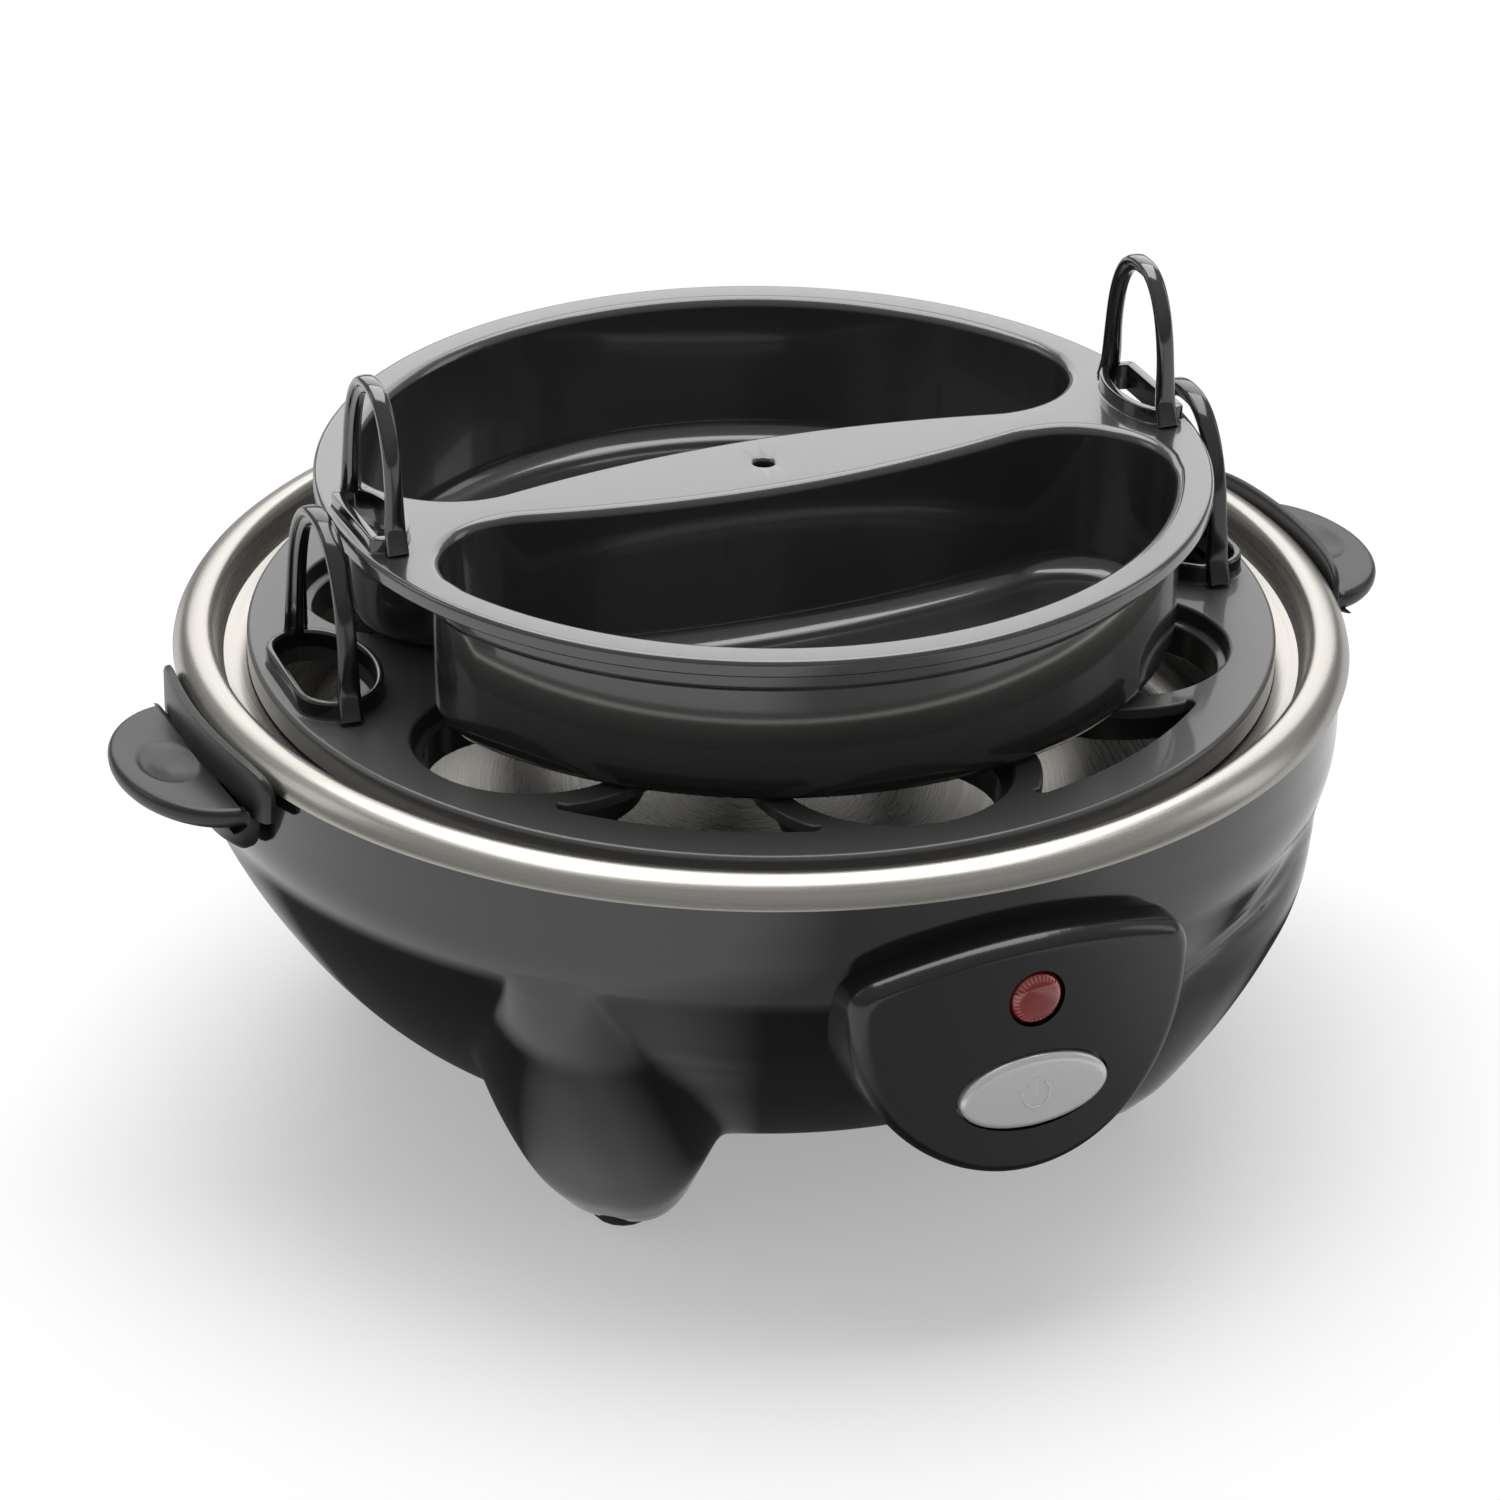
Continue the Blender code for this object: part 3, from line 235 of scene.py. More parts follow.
# the plain bowl and a leg's middle line, (radius, height) from the rim down, side by side
bowl_line = [(89.2, 71.2), (89.1, 65.0), (88.65, 57.5), (86.02, 50.0), (82.3, 42.5), (77.95, 35.5),
             (73.6, 29.5), (68.6, 23.8), (64.4, 20.0), (60.9, 18.0)]
leg_line = [(88.0, 71.2), (88.1, 65.0), (88.2, 57.5), (88.1, 48.9), (86.1, 39.5), (82.4, 30.5), (77.7, 21.5),
            (72.9, 13.8), (68.6, 7.5), (65.0, 3.6)]
leg_half_width = [6.0, 6.0, 6.0, 8.6, 13.2, 16.8, 18.2, 18.2, 17.2, 15.6]
leg_bluntness = [2.0, 2.0, 2.0, 2.0, 2.1, 2.3, 2.6, 2.9, 3.1, 3.2]
TOP_ROUNDING = 0.038
# widths across a leg are measured along an arc of this radius
ARC_RADIUS = 86.0
# the rows bend to follow the crease: its usual height, the drop of the bowl's line, and its place on it
CREASE_HEIGHT = 50.0
LINE_DROP = 67.5
CREASE_PLACE = 0.333
CREASE_REACH = 0.16
# the fold is strong at the panel's right and hardly shows at its left
LEFT_FOLD_SHARE = 0.08
FOLD_CROWN = 55.8
# the roll, the groove and the scoop: height off the bowl, distance below the fold's line, half width
FOLD_FORMS = ((0.95, 2.2, 1.5), (-0.35, 4.9, 0.9), (-0.95, 10.0, 3.2))
# above this share of the outline a leg only stands out, and below it the leg reaches down as well
CONE_START = 0.30


def along(values, t):
    """A smooth curve through evenly spaced values, read at t from 0 to 1."""
    place = min(max(t, 0.0), 1.0) * (len(values) - 1)
    i = min(int(place), len(values) - 2)
    f = place - i
    a, b, c, d = (values[max(i - 1, 0)], values[i], values[i + 1], values[min(i + 2, len(values) - 1)])

    def curve(a, b, c, d):
        return b + 0.5 * f * (c - a + f * (2 * a - 5 * b + 4 * c - d + f * (3 * (b - c) + d - a)))

    if isinstance(b, tuple):
        return tuple(curve(*pair) for pair in zip(a, b, c, d))
    return curve(a, b, c, d)


def ease(x):
    """0 below 0, 1 above 1 and smooth between."""
    x = min(max(x, 0.0), 1.0)
    return x * x * (3.0 - 2.0 * x)


def soft_positive(value, softness):
    """The value where it is positive and 0 where it is not, with a rounded corner between."""
    return 0.5 * (value + math.sqrt(value * value + softness * softness))


def fold_height(across):
    """Height of the arch over the leg and of the fold that runs on from it towards the panel."""
    if across < 0.0:
        return FOLD_CROWN - 5.6 * ease(-across / 11.0) + 3.0 * ease((-across - 11.0) / 16.0)
    return FOLD_CROWN - 8.6 * ease(across / 15.0) - 2.6 * ease((across - 9.0) / 24.0)


def fold_relief(across, below):
    """How far the fold, its groove and the scoop under it stand off the bowl."""
    if across < 4.0 or below < -4.0:
        return 0.0
    shown = ease((across - 4.0) / 12.0) * (1.0 - 0.6 * ease((across - 34.0) / 14.0))
    return shown * sum(height * math.exp(-((below - place) / width) ** 2)
                       for height, place, width in FOLD_FORMS)


def finished(name, work, smooth_angle=32.0):
    """Makes a shown object of a bmesh in millimetres, with its faces pointing out and its curves smooth."""
    bmesh.ops.recalc_face_normals(work, faces=work.faces)
    bmesh.ops.scale(work, vec=(MM, MM, MM), verts=work.verts)
    mesh = bpy.data.meshes.new(name)
    work.to_mesh(mesh)
    work.free()
    mesh.shade_smooth()
    mesh.set_sharp_from_angle(angle=math.radians(smooth_angle))
    piece = bpy.data.objects.new(name, mesh)
    bpy.context.scene.collection.objects.link(piece)
    return piece


def open_line(work, points):
    """Vertices and edges of an open line of (radius, height) in the XZ plane."""
    corners = [work.verts.new((radius, 0.0, height)) for radius, height in points]
    edges = [work.edges.new(pair) for pair in zip(corners, corners[1:])]
    return corners + edges


def spun(work, line, steps):
    """Spins a line right round the Z axis."""
    bmesh.ops.spin(work, geom=line, cent=(0, 0, 0), axis=(0, 0, 1), angle=math.tau, steps=steps,
                   use_merge=True)


housing = bmesh.new()
row_of = housing.verts.layers.float.new("row")
outer = [along(bowl_line, place) for place in row_places]
under = [(59.9, 17.6), (58.6, 17.5), (54.5, 17.5), (52.0, 17.5), (48.4, 17.5)]
leg_under = [(63.4, 2.0), (62.0, 1.2), (54.2, 1.2), (52.0, 3.6), (49.4, 17.5)]
hollow = [(41.0, 17.5), (41.0, 20.0), (50.0, 20.0), (62.0, 21.0), (70.0, 27.5), (77.0, 37.0), (83.0, 49.0),
          (86.6, 62.0), (87.6, 70.4)]
line = open_line(housing, outer + under + hollow)
corner_count = len(outer) + len(under) + len(hollow)
for i in range(corner_count):
    line[i][row_of] = i + 1.0 if i < len(outer) + len(under) else 0.0
line.append(housing.edges.new((line[corner_count - 1], line[0])))
spun(housing, line, HOUSING_COLUMNS)
for corner in housing.verts:
    row = round(corner[row_of]) - 1
    if row < 0:
        continue
    angle = math.degrees(math.atan2(corner.co.y, corner.co.x)) % 360.0
    quarter_turn = int(angle // LEG_STEP)
    offset = angle % LEG_STEP - LEG_STEP / 2
    offset -= LEG_COLUMN_CROWDING * math.degrees(math.sin(math.radians(4.0 * offset))) / 4.0
    towards_panel = 1.0 if quarter_turn % 2 == 0 else -1.0
    across = towards_panel * math.radians(offset) * ARC_RADIUS
    if row <= HOUSING_ROWS:
        t = row_places[row]
        shift = (CREASE_HEIGHT - fold_height(across)) / LINE_DROP * (1.0 - ease((abs(across) - 30.0) / 18.0))
        t += shift * math.exp(-((t - CREASE_PLACE) / CREASE_REACH) ** 2)
        start, leg = along(bowl_line, t), along(leg_line, t)
        half, blunt = along(leg_half_width, t), along(leg_bluntness, t)
    else:
        t = 1.0
        start, leg = under[row - HOUSING_ROWS - 1], leg_under[row - HOUSING_ROWS - 1]
        half, blunt = 15.0 * start[0] / 60.0, 3.2
    drawn = math.hypot(leg[0] - start[0], leg[1] - start[1])
    # near the rim the leg's flat top lies inside the bowl, and below that the leg is a blunt cone
    if leg[0] < start[0] and t < 0.5:
        rise = leg[0] - start[0] - TOP_ROUNDING * across ** 2
    else:
        rise = drawn * (1.0 - (abs(across) * start[0] / ARC_RADIUS / half) ** blunt)
    # the cone's outline is crisp at the crease and away from the panel, softer below and towards it
    softness = (0.16 + 1.2 * ease((t - 0.15) / 0.5)) * (0.45 + 1.0 * ease((across + 5.0) / 10.0))
    lift = min(soft_positive(rise, softness), max(drawn, 0.0) + softness)
    if t < CONE_START:
        new_radius, new_height = start[0] + lift, start[1]
    else:
        share_here = lift / max(drawn, 0.5)
        # the cone's pull on the bowl fades out beside it
        share_here *= 1.0 - ease((abs(across) - 1.15 * half) / 14.0)
        new_radius = start[0] + (leg[0] - start[0]) * share_here
        new_height = start[1] + (leg[1] - start[1]) * share_here
    if row <= HOUSING_ROWS and t > 0.12:
        strength = 1.0 if quarter_turn in (0, 3) else LEFT_FOLD_SHARE
        new_radius += strength * fold_relief(across, fold_height(across) - start[1])
    turned = math.radians(quarter_turn * LEG_STEP + LEG_STEP / 2 + offset)
    corner.co = (new_radius * math.cos(turned), new_radius * math.sin(turned), new_height)
base_shell = finished("base_shell", housing, 50.0)
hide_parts("base_housing")
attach(base_shell, "base")


def even_faced(name, work):
    """A finished piece whose rounded edges shade evenly into its flat faces."""
    piece = finished(name, work, 40.0)
    even = piece.modifiers.new("even_face", "WEIGHTED_NORMAL")
    even.keep_sharp = True
    return piece


def turn_all(work, degrees, axis="Z"):
    """Turns a whole bmesh about an axis through the origin."""
    turn = Matrix.Rotation(math.radians(degrees), 3, axis)
    bmesh.ops.rotate(work, verts=work.verts, cent=(0, 0, 0), matrix=turn)


def shader_group(name, inputs, outputs):
    """A shader node group with named sockets, and its input and output nodes."""
    group = bpy.data.node_groups.new(name, "ShaderNodeTree")
    for label, kind, value in inputs:
        socket = group.interface.new_socket(name=label, in_out="INPUT", socket_type=kind)
        if value is not None:
            socket.default_value = value
    for label, kind in outputs:
        group.interface.new_socket(name=label, in_out="OUTPUT", socket_type=kind)
    return group, group.nodes.new("NodeGroupInput"), group.nodes.new("NodeGroupOutput")


# what moulded plastic shows from close by: a faint orange peel, hazy patches and rare specks of dust
moulded, entry, leave = shader_group(
    "moulded_plastic",
    [("Colour", "NodeSocketColor", (0.02, 0.02, 0.02, 1.0)), ("Roughness", "NodeSocketFloat", 0.1),
     ("Haze", "NodeSocketFloat", 0.05), ("Peel Size", "NodeSocketFloat", 260.0),
     ("Peel Depth", "NodeSocketFloat", 0.02), ("Dust", "NodeSocketFloat", 0.02)],
    [("Colour", "NodeSocketColor"), ("Roughness", "NodeSocketFloat"), ("Height", "NodeSocketFloat")],
)
place = node_of(moulded, "TexCoord")
peel = node_of(moulded, "TexNoise", {"Detail": 2.0})
patches = node_of(moulded, "TexNoise", {"Scale": 38.0, "Detail": 4.0})
specks = node_of(moulded, "TexNoise", {"Scale": 1900.0, "Detail": 1.0})
rare = range_of(moulded, 0.70, 0.80)
haze = math_of(moulded, "MULTIPLY")
rough = math_of(moulded, "ADD")
height_out = math_of(moulded, "MULTIPLY")
dust = math_of(moulded, "MULTIPLY")
dusty = node_of(moulded, "Mix", {"B": (0.35, 0.34, 0.32, 1.0)}, data_type="RGBA")
for texture in (peel, patches, specks):
    wire(moulded, (place, "Object", texture, "Vector"))
wire(
    moulded, (entry, "Peel Size", peel, "Scale"), (patches, "Fac", haze, 0), (entry, "Haze", haze, 1),
    (haze, "Value", rough, 0), (entry, "Roughness", rough, 1), (rough, "Value", leave, "Roughness"),
    (peel, "Fac", height_out, 0), (entry, "Peel Depth", height_out, 1),
    (height_out, "Value", leave, "Height"), (specks, "Fac", rare, "Value"), (rare, "Result", dust, 0),
    (entry, "Dust", dust, 1), (dust, "Value", dusty, "Factor"), (entry, "Colour", dusty, "A"),
    (dusty, "Result", leave, "Colour"),
)


def material_of(name, colour):
    """A new material, its node tree and its surface shader."""
    made = bpy.data.materials.new(name)
    made.use_nodes = True
    made.diffuse_color = (*colour, 1.0)
    return made, made.node_tree, made.node_tree.nodes["Principled BSDF"]


def relief_on(tree, surface, finish):
    """Gives a surface the roughness and the fine relief of its finish."""
    bump = node_of(tree, "Bump", {"Distance": MM, "Strength": 1.0})
    wire(
        tree, (finish, "Roughness", surface, "Roughness"), (finish, "Height", bump, "Height"),
        (bump, "Normal", surface, "Normal"),
    )


def plastic(name, colour, roughness, haze, peel_size, peel_depth, dust, coat=0.0):
    """A moulded plastic of one colour, with its own gloss and peel."""
    made, tree, surface = material_of(name, colour)
    finish = node_of(tree, "Group", {"Colour": (*colour, 1.0), "Roughness": roughness, "Haze": haze,
                                     "Peel Size": peel_size, "Peel Depth": peel_depth, "Dust": dust},
                     node_tree=moulded)
    put(surface, {"Coat Weight": coat, "Coat Roughness": 0.06, "Coat IOR": 1.6})
    wire(tree, (finish, "Colour", surface, "Base Color"))
    relief_on(tree, surface, finish)
    return made


def polish_above_and_paint_sheen_below(material, height, colour, roughness):
    """Makes a moulding smoother and deeper in colour above a height, where its loops stand; the loops get
    the moulding's deep black, and the lighter colour left below is painted sheen.
    """
    tree = material.node_tree
    surface = tree.nodes["Principled BSDF"]
    plain_colour = surface.inputs["Base Color"].links[0].from_socket
    plain_roughness = surface.inputs["Roughness"].links[0].from_socket
    place = node_of(tree, "TexCoord")
    parts = node_of(tree, "SeparateXYZ")
    above = range_of(tree, height * MM, (height + 0.6) * MM)
    tone = node_of(tree, "Mix", {"B": (*colour, 1.0)}, data_type="RGBA")
    gloss = node_of(tree, "Mix", {"B": roughness}, data_type="FLOAT")
    wire(
        tree, (place, "Object", parts, "Vector"), (parts, "Z", above, "Value"),
        (above, "Result", tone, "Factor"), (above, "Result", gloss, "Factor"),
    )
    tree.links.new(plain_colour, tone.inputs["A"])
    tree.links.new(plain_roughness, gloss.inputs["A"])
    wire(tree, (tone, "Result", surface, "Base Color"), (gloss, "Result", surface, "Roughness"))


gloss_black = plastic("gloss_black_polypropylene", (0.006, 0.0057, 0.006), roughness=0.09, haze=0.05,
                      peel_size=240.0, peel_depth=0.002, dust=0.03, coat=0.62)
base_shell.data.materials.append(gloss_black)


# Heating pan: one spun and polished stainless pressing, with a rolled rim that hooks over the housing,
# a ledge inside it for the egg tray, and a flat floor over the heater.
PAN_STEPS = 240
PAN_FLOOR = 46.0
pan_outline = [
    (0.0, PAN_FLOOR), (63.0, PAN_FLOOR), (67.5, PAN_FLOOR + 0.5), (71.0, PAN_FLOOR + 2.2),
    (73.4, PAN_FLOOR + 5.2), (74.4, PAN_FLOOR + 9.0), (75.5, 66.6), (76.0, 68.6), (76.6, 69.6),
    (77.6, 70.0), (81.4, 70.0), (82.6, 70.3), (83.3, 71.2), (83.9, 73.4), (84.2, 74.6), (84.7, 75.35),
    (85.4, 75.68), (86.2, 75.68), (87.2, 75.4), (88.3, 74.9), (89.2, 74.1), (89.8, 73.2), (90.2, 72.4),
    (90.35, 71.7), (89.6, 71.7), (88.9, 73.2), (87.4, 74.4), (85.8, 74.8), (84.9, 73.8), (84.0, 70.8),
    (82.6, 69.2), (77.6, 69.2), (76.6, 67.4), (75.2, PAN_FLOOR + 9.0), (74.0, PAN_FLOOR + 4.8),
    (71.4, PAN_FLOOR + 1.5), (67.5, PAN_FLOOR - 0.4), (63.0, PAN_FLOOR - 0.8), (0.0, PAN_FLOOR - 0.8),
]
pan = bmesh.new()
spun(pan, open_line(pan, pan_outline), PAN_STEPS)
bmesh.ops.remove_doubles(pan, verts=pan.verts, dist=0.002)
steel_pan = finished("steel_pan", pan, 38.0)
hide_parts("heating_pan")
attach(steel_pan, "base")

# rings left by spinning and polishing: fine lines round the axis that break up the shine
ringed, entry, leave = shader_group(
    "polishing_rings",
    [("Line Size", "NodeSocketFloat", 2600.0), ("Roughness", "NodeSocketFloat", 0.16),
     ("Depth", "NodeSocketFloat", 0.01)],
    [("Roughness", "NodeSocketFloat"), ("Height", "NodeSocketFloat"), ("Shade", "NodeSocketFloat")],
)
place = node_of(ringed, "TexCoord")
parts = node_of(ringed, "SeparateXYZ")
flat = node_of(ringed, "CombineXYZ")
reach = node_of(ringed, "VectorMath", operation="LENGTH")
turn = math_of(ringed, "ARCTAN2")
turn_scaled = math_of(ringed, "MULTIPLY", 0.0006)
lines_at = node_of(ringed, "CombineXYZ")
lines = node_of(ringed, "TexNoise", {"Detail": 3.0})
spread = math_of(ringed, "MULTIPLY", 0.14)
rough = math_of(ringed, "ADD")
height_out = math_of(ringed, "MULTIPLY")
wire(
    ringed, (place, "Object", parts, "Vector"), (parts, "X", flat, "X"), (parts, "Y", flat, "Y"),
    (flat, "Vector", reach, 0), (parts, "Y", turn, 0), (parts, "X", turn, 1),
    (turn, "Value", turn_scaled, 0), (reach, "Value", lines_at, "X"), (parts, "Z", lines_at, "Y"),
    (turn_scaled, "Value", lines_at, "Z"), (lines_at, "Vector", lines, "Vector"),
    (entry, "Line Size", lines, "Scale"), (lines, "Fac", spread, 0), (spread, "Value", rough, 0),
    (entry, "Roughness", rough, 1), (rough, "Value", leave, "Roughness"), (lines, "Fac", height_out, 0),
    (entry, "Depth", height_out, 1), (height_out, "Value", leave, "Height"), (lines, "Fac", leave, "Shade"),
)


def spun_metal(name, colour, dark, roughness, line_size, depth):
    """Polished metal with rings round the object's axis."""
    made, tree, surface = material_of(name, colour)
    put(surface, {"Metallic": 1.0})
    finish = node_of(tree, "Group", {"Line Size": line_size, "Roughness": roughness, "Depth": depth},
                     node_tree=ringed)
    tone = node_of(tree, "Mix", {"A": (*dark, 1.0), "B": (*colour, 1.0)}, data_type="RGBA")
    wire(tree, (finish, "Shade", tone, "Factor"), (tone, "Result", surface, "Base Color"))
    relief_on(tree, surface, finish)
    return made


pan_steel = spun_metal("spun_stainless_steel", (0.50, 0.48, 0.445), dark=(0.38, 0.365, 0.337),
                       roughness=0.21, line_size=2400.0, depth=0.006)
steel_pan.data.materials.append(pan_steel)


# Control panel: a shield moulded in satin black, with a thick glossy rounded edge, clipped into the
# front of the bowl. It has a round hole for the lamp and an oval one for the push button.
PANEL_FACE = 95.2
PANEL_HALF_WIDTH = 27.3
PANEL_MIDDLE = 55.5
PANEL_CROWN = 65.6
PANEL_TIP = 26.7
PANEL_CORNER = 5.5
PANEL_EDGE = (2.4, 2.7)
LAMP_HEIGHT = 55.9
LAMP_HOLE = 4.5
HOLE_ROUNDING = 0.35
BUTTON_GAP = 0.45
BUTTON_HEIGHT = 40.8
BUTTON_HALF = (11.85, 5.85)


def up_to(angle, count):
    """Angles in even steps from nothing to an angle, both ends included."""
    return [angle * i / count for i in range(count + 1)]


def panel_outline(grow):
    """The shield's outline of (x, height), counter-clockwise, moved outwards by an amount."""
    half = PANEL_HALF_WIDTH
    drop = PANEL_MIDDLE - PANEL_TIP
    lower = [(half * math.cos(math.pi + a), PANEL_MIDDLE + drop * math.sin(math.pi + a))
             for a in up_to(math.pi, 72)]
    middle = (half - PANEL_CORNER, PANEL_CROWN - 9.4)
    right = [(middle[0] + PANEL_CORNER * math.cos(a), middle[1] + PANEL_CORNER * math.sin(a))
             for a in up_to(math.radians(71.0), 14)]
    crown = [(x, PANEL_CROWN - 0.0075 * x ** 2) for x in [22.0 - 2.0 * i for i in range(23)]]
    left = [(-x, z) for x, z in reversed(right)]
    line = lower + right + crown + left
    return outwards(line, grow)


def outwards(line, grow):
    """Moves the points of a counter-clockwise outline along their normals."""
    moved = []
    for i, (x, y) in enumerate(line):
        before = Vector(line[i - 1])
        after = Vector(line[(i + 1) % len(line)])
        along_edge = (after - before).normalized()
        moved.append((x + along_edge.y * grow, y - along_edge.x * grow))
    return moved


def quarter(width, depth, count=8):
    """Steps of a quarter ellipse from the side to the face: (inset, rise)."""
    return [(width * (1.0 - math.cos(a)), depth * math.sin(a)) for a in up_to(math.pi / 2, count)]


def loop_of(work, points):
    """A closed loop of edges through points."""
    corners = [work.verts.new(point) for point in points]
    return [work.edges.new((corners[i - 1], corners[i])) for i in range(len(corners))]


def bridged(work, loops):
    """Joins each loop of edges to the next one."""
    for first, second in zip(loops, loops[1:]):
        bmesh.ops.bridge_loops(work, edges=first + second)


def capped(work, *loops):
    """Closes loops of edges with a face each."""
    for loop in loops:
        bmesh.ops.holes_fill(work, edges=loop, sides=0)


def upright(outline, depth):
    """Stands an outline of (x, height) up at a distance in front of the axis."""
    return [(x, -depth, z) for x, z in outline]


def bowl_depth(x, height):
    """Distance of the bowl's face from the XZ plane, seen from the front."""
    sphere = math.sqrt(max(1.0, BOWL_RADIUS ** 2 - (BOWL_CENTRE - height) ** 2))
    return math.sqrt(min(sphere, 89.2) ** 2 - x ** 2)


def oval(half_width, half_height, middle, count=72):
    """An oval outline of (x, height) round a middle height."""
    return [(half_width * math.cos(a), middle + half_height * math.sin(a))
            for a in [math.tau * i / count for i in range(count)]]


def is_inside(point, loop, axes):
    """Whether a point is inside a flat loop of edges, seen along the third axis."""
    across, up = axes
    inside = False
    for edge in loop:
        a, b = (corner.co for corner in edge.verts)
        if (a[up] > point[up]) != (b[up] > point[up]):
            share_up = (point[up] - a[up]) / (b[up] - a[up])
            inside ^= point[across] < a[across] + (b[across] - a[across]) * share_up
    return inside


def flat_with_holes(work, loops, axes=(0, 1)):
    """Fills the flat face between an outer loop and the loops inside it, which stay open."""
    edges = [edge for loop in loops for edge in loop]
    facing = (0, 0, 1) if axes == (0, 1) else (0, -1, 0)
    made = bmesh.ops.triangle_fill(work, use_beauty=True, use_dissolve=False, edges=edges, normal=facing)
    strays = [face for face in made["geom"] if isinstance(face, bmesh.types.BMFace)
              and any(is_inside(face.calc_center_median(), loop, axes) for loop in loops[1:])]
    bmesh.ops.delete(work, geom=strays, context="FACES_ONLY")


panel = bmesh.new()
side_back = [(x, 2.4 - bowl_depth(x, z), z) for x, z in panel_outline(0.0)]
panel_loops = [loop_of(panel, side_back)]
for inset, rise in quarter(*PANEL_EDGE):
    panel_loops.append(loop_of(panel, upright(panel_outline(-inset), PANEL_FACE - PANEL_EDGE[1] + rise)))
bridged(panel, panel_loops)
face_loops = [panel_loops[-1]]
for outline in (oval(LAMP_HOLE, LAMP_HOLE, LAMP_HEIGHT),
                oval(BUTTON_HALF[0] + BUTTON_GAP, BUTTON_HALF[1] + BUTTON_GAP, BUTTON_HEIGHT)):
    hole_loops = [loop_of(panel, upright(outwards(outline, HOLE_ROUNDING - inset),
                                         PANEL_FACE - HOLE_ROUNDING + rise))
                  for inset, rise in reversed(quarter(HOLE_ROUNDING, HOLE_ROUNDING, count=4))]
    hole_loops.append(loop_of(panel, upright(outline, PANEL_FACE - 2.5)))
    bridged(panel, hole_loops)
    face_loops.append(hole_loops[0])
flat_with_holes(panel, face_loops, (0, 2))
# cuts across the flat face give it the corners that its curve needs
for cut_at in range(-26, 27, 2):
    everything = panel.verts[:] + panel.edges[:] + panel.faces[:]
    bmesh.ops.bisect_plane(panel, geom=everything, plane_co=(cut_at, 0, 0), plane_no=(1, 0, 0), dist=0.0005)
# the face curves with the bowl, so its left and right edges lie further back than its middle
for corner in panel.verts:
    if corner.co.y < PANEL_EDGE[1] + 0.05 - PANEL_FACE:
        corner.co.y += PANEL_FACE - math.sqrt(PANEL_FACE ** 2 - corner.co.x ** 2)
panel_cover = even_faced("panel_cover", panel)
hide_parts("control_panel")
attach(panel_cover, "base")
panel_black = plastic("panel_satin_black", (0.006, 0.0058, 0.0063), roughness=0.20, haze=0.08,
                      peel_size=900.0, peel_depth=0.006, dust=0.03, coat=0.2)
panel_cover.data.materials.append(panel_black)


# Indicator lens: a low dome of clear red plastic in a round hole of the panel. The glints of a faceted
# reflector ring behind it are painted into its colour as a ring of bright dashes.
LENS_RADIUS = 4.2
lens = bmesh.new()
lens_line = [(0.0, 0.95), (1.1, 0.91), (2.1, 0.75), (2.95, 0.48), (3.6, 0.1), (3.95, -0.3),
             (LENS_RADIUS, -0.8), (LENS_RADIUS, -2.4), (0.0, -2.4)]
spun(lens, open_line(lens, lens_line), 64)
bmesh.ops.remove_doubles(lens, verts=lens.verts, dist=0.002)
turn_all(lens, 90.0, "X")
bmesh.ops.translate(lens, verts=lens.verts, vec=(0.0, -PANEL_FACE, LAMP_HEIGHT))
red_lens = finished("red_lens", lens, 50.0)
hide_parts("indicator_lens")
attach(red_lens, "base")

lens_red, tree, surface = material_of("clear_red_plastic", (0.6, 0.05, 0.05))
put(surface, {"Roughness": 0.06, "Coat Weight": 1.0, "Coat Roughness": 0.03})
place = node_of(tree, "TexCoord")
centred = node_of(tree, "Mapping", {"Location": (0.0, PANEL_FACE * MM, -LAMP_HEIGHT * MM)})
parts = node_of(tree, "SeparateXYZ")
flat = node_of(tree, "CombineXYZ")
reach = node_of(tree, "VectorMath", operation="LENGTH")
turn = math_of(tree, "ARCTAN2")
teeth = math_of(tree, "MULTIPLY", 34.0)
wave = math_of(tree, "SINE")
# painted reflection: a ring of bright dashes in the red stands in for the reflector's glints
dashes = range_of(tree, -0.2, 0.9)
ring_in = range_of(tree, 2.9 * MM, 3.2 * MM)
ring_out = range_of(tree, 3.9 * MM, 3.7 * MM)
ring = math_of(tree, "MULTIPLY")
painted_glint_dashes = math_of(tree, "MULTIPLY")
cloudy = node_of(tree, "TexNoise", {"Scale": 420.0})
red = node_of(tree, "Mix", {"A": (0.13, 0.006, 0.006, 1.0), "B": (0.24, 0.016, 0.015, 1.0)},
              data_type="RGBA")
red_with_painted_glints = node_of(tree, "Mix", {"B": (0.42, 0.09, 0.08, 1.0)}, data_type="RGBA")
wire(
    tree, (place, "Object", centred, "Vector"), (centred, "Vector", parts, "Vector"),
    (parts, "X", flat, "X"), (parts, "Z", flat, "Z"), (flat, "Vector", reach, 0), (parts, "Z", turn, 0),
    (parts, "X", turn, 1), (turn, "Value", teeth, 0), (teeth, "Value", wave, 0),
    (wave, "Value", dashes, "Value"), (reach, "Value", ring_in, "Value"),
    (reach, "Value", ring_out, "Value"), (ring_in, "Result", ring, 0), (ring_out, "Result", ring, 1),
    (ring, "Value", painted_glint_dashes, 0), (dashes, "Result", painted_glint_dashes, 1), (centred, "Vector", cloudy, "Vector"),
    (cloudy, "Fac", red, "Factor"), (painted_glint_dashes, "Value", red_with_painted_glints, "Factor"), (red, "Result", red_with_painted_glints, "A"),
    (red_with_painted_glints, "Result", surface, "Base Color"),
)
red_lens.data.materials.append(lens_red)


# Power button: an oval cap of silver-coated plastic with a softly domed face, a raised power sign in
# its middle, and a stem behind it. It slides in the panel's oval hole.
button = bmesh.new()
half_wide, half_high = BUTTON_HALF
edge_inset = 1.5
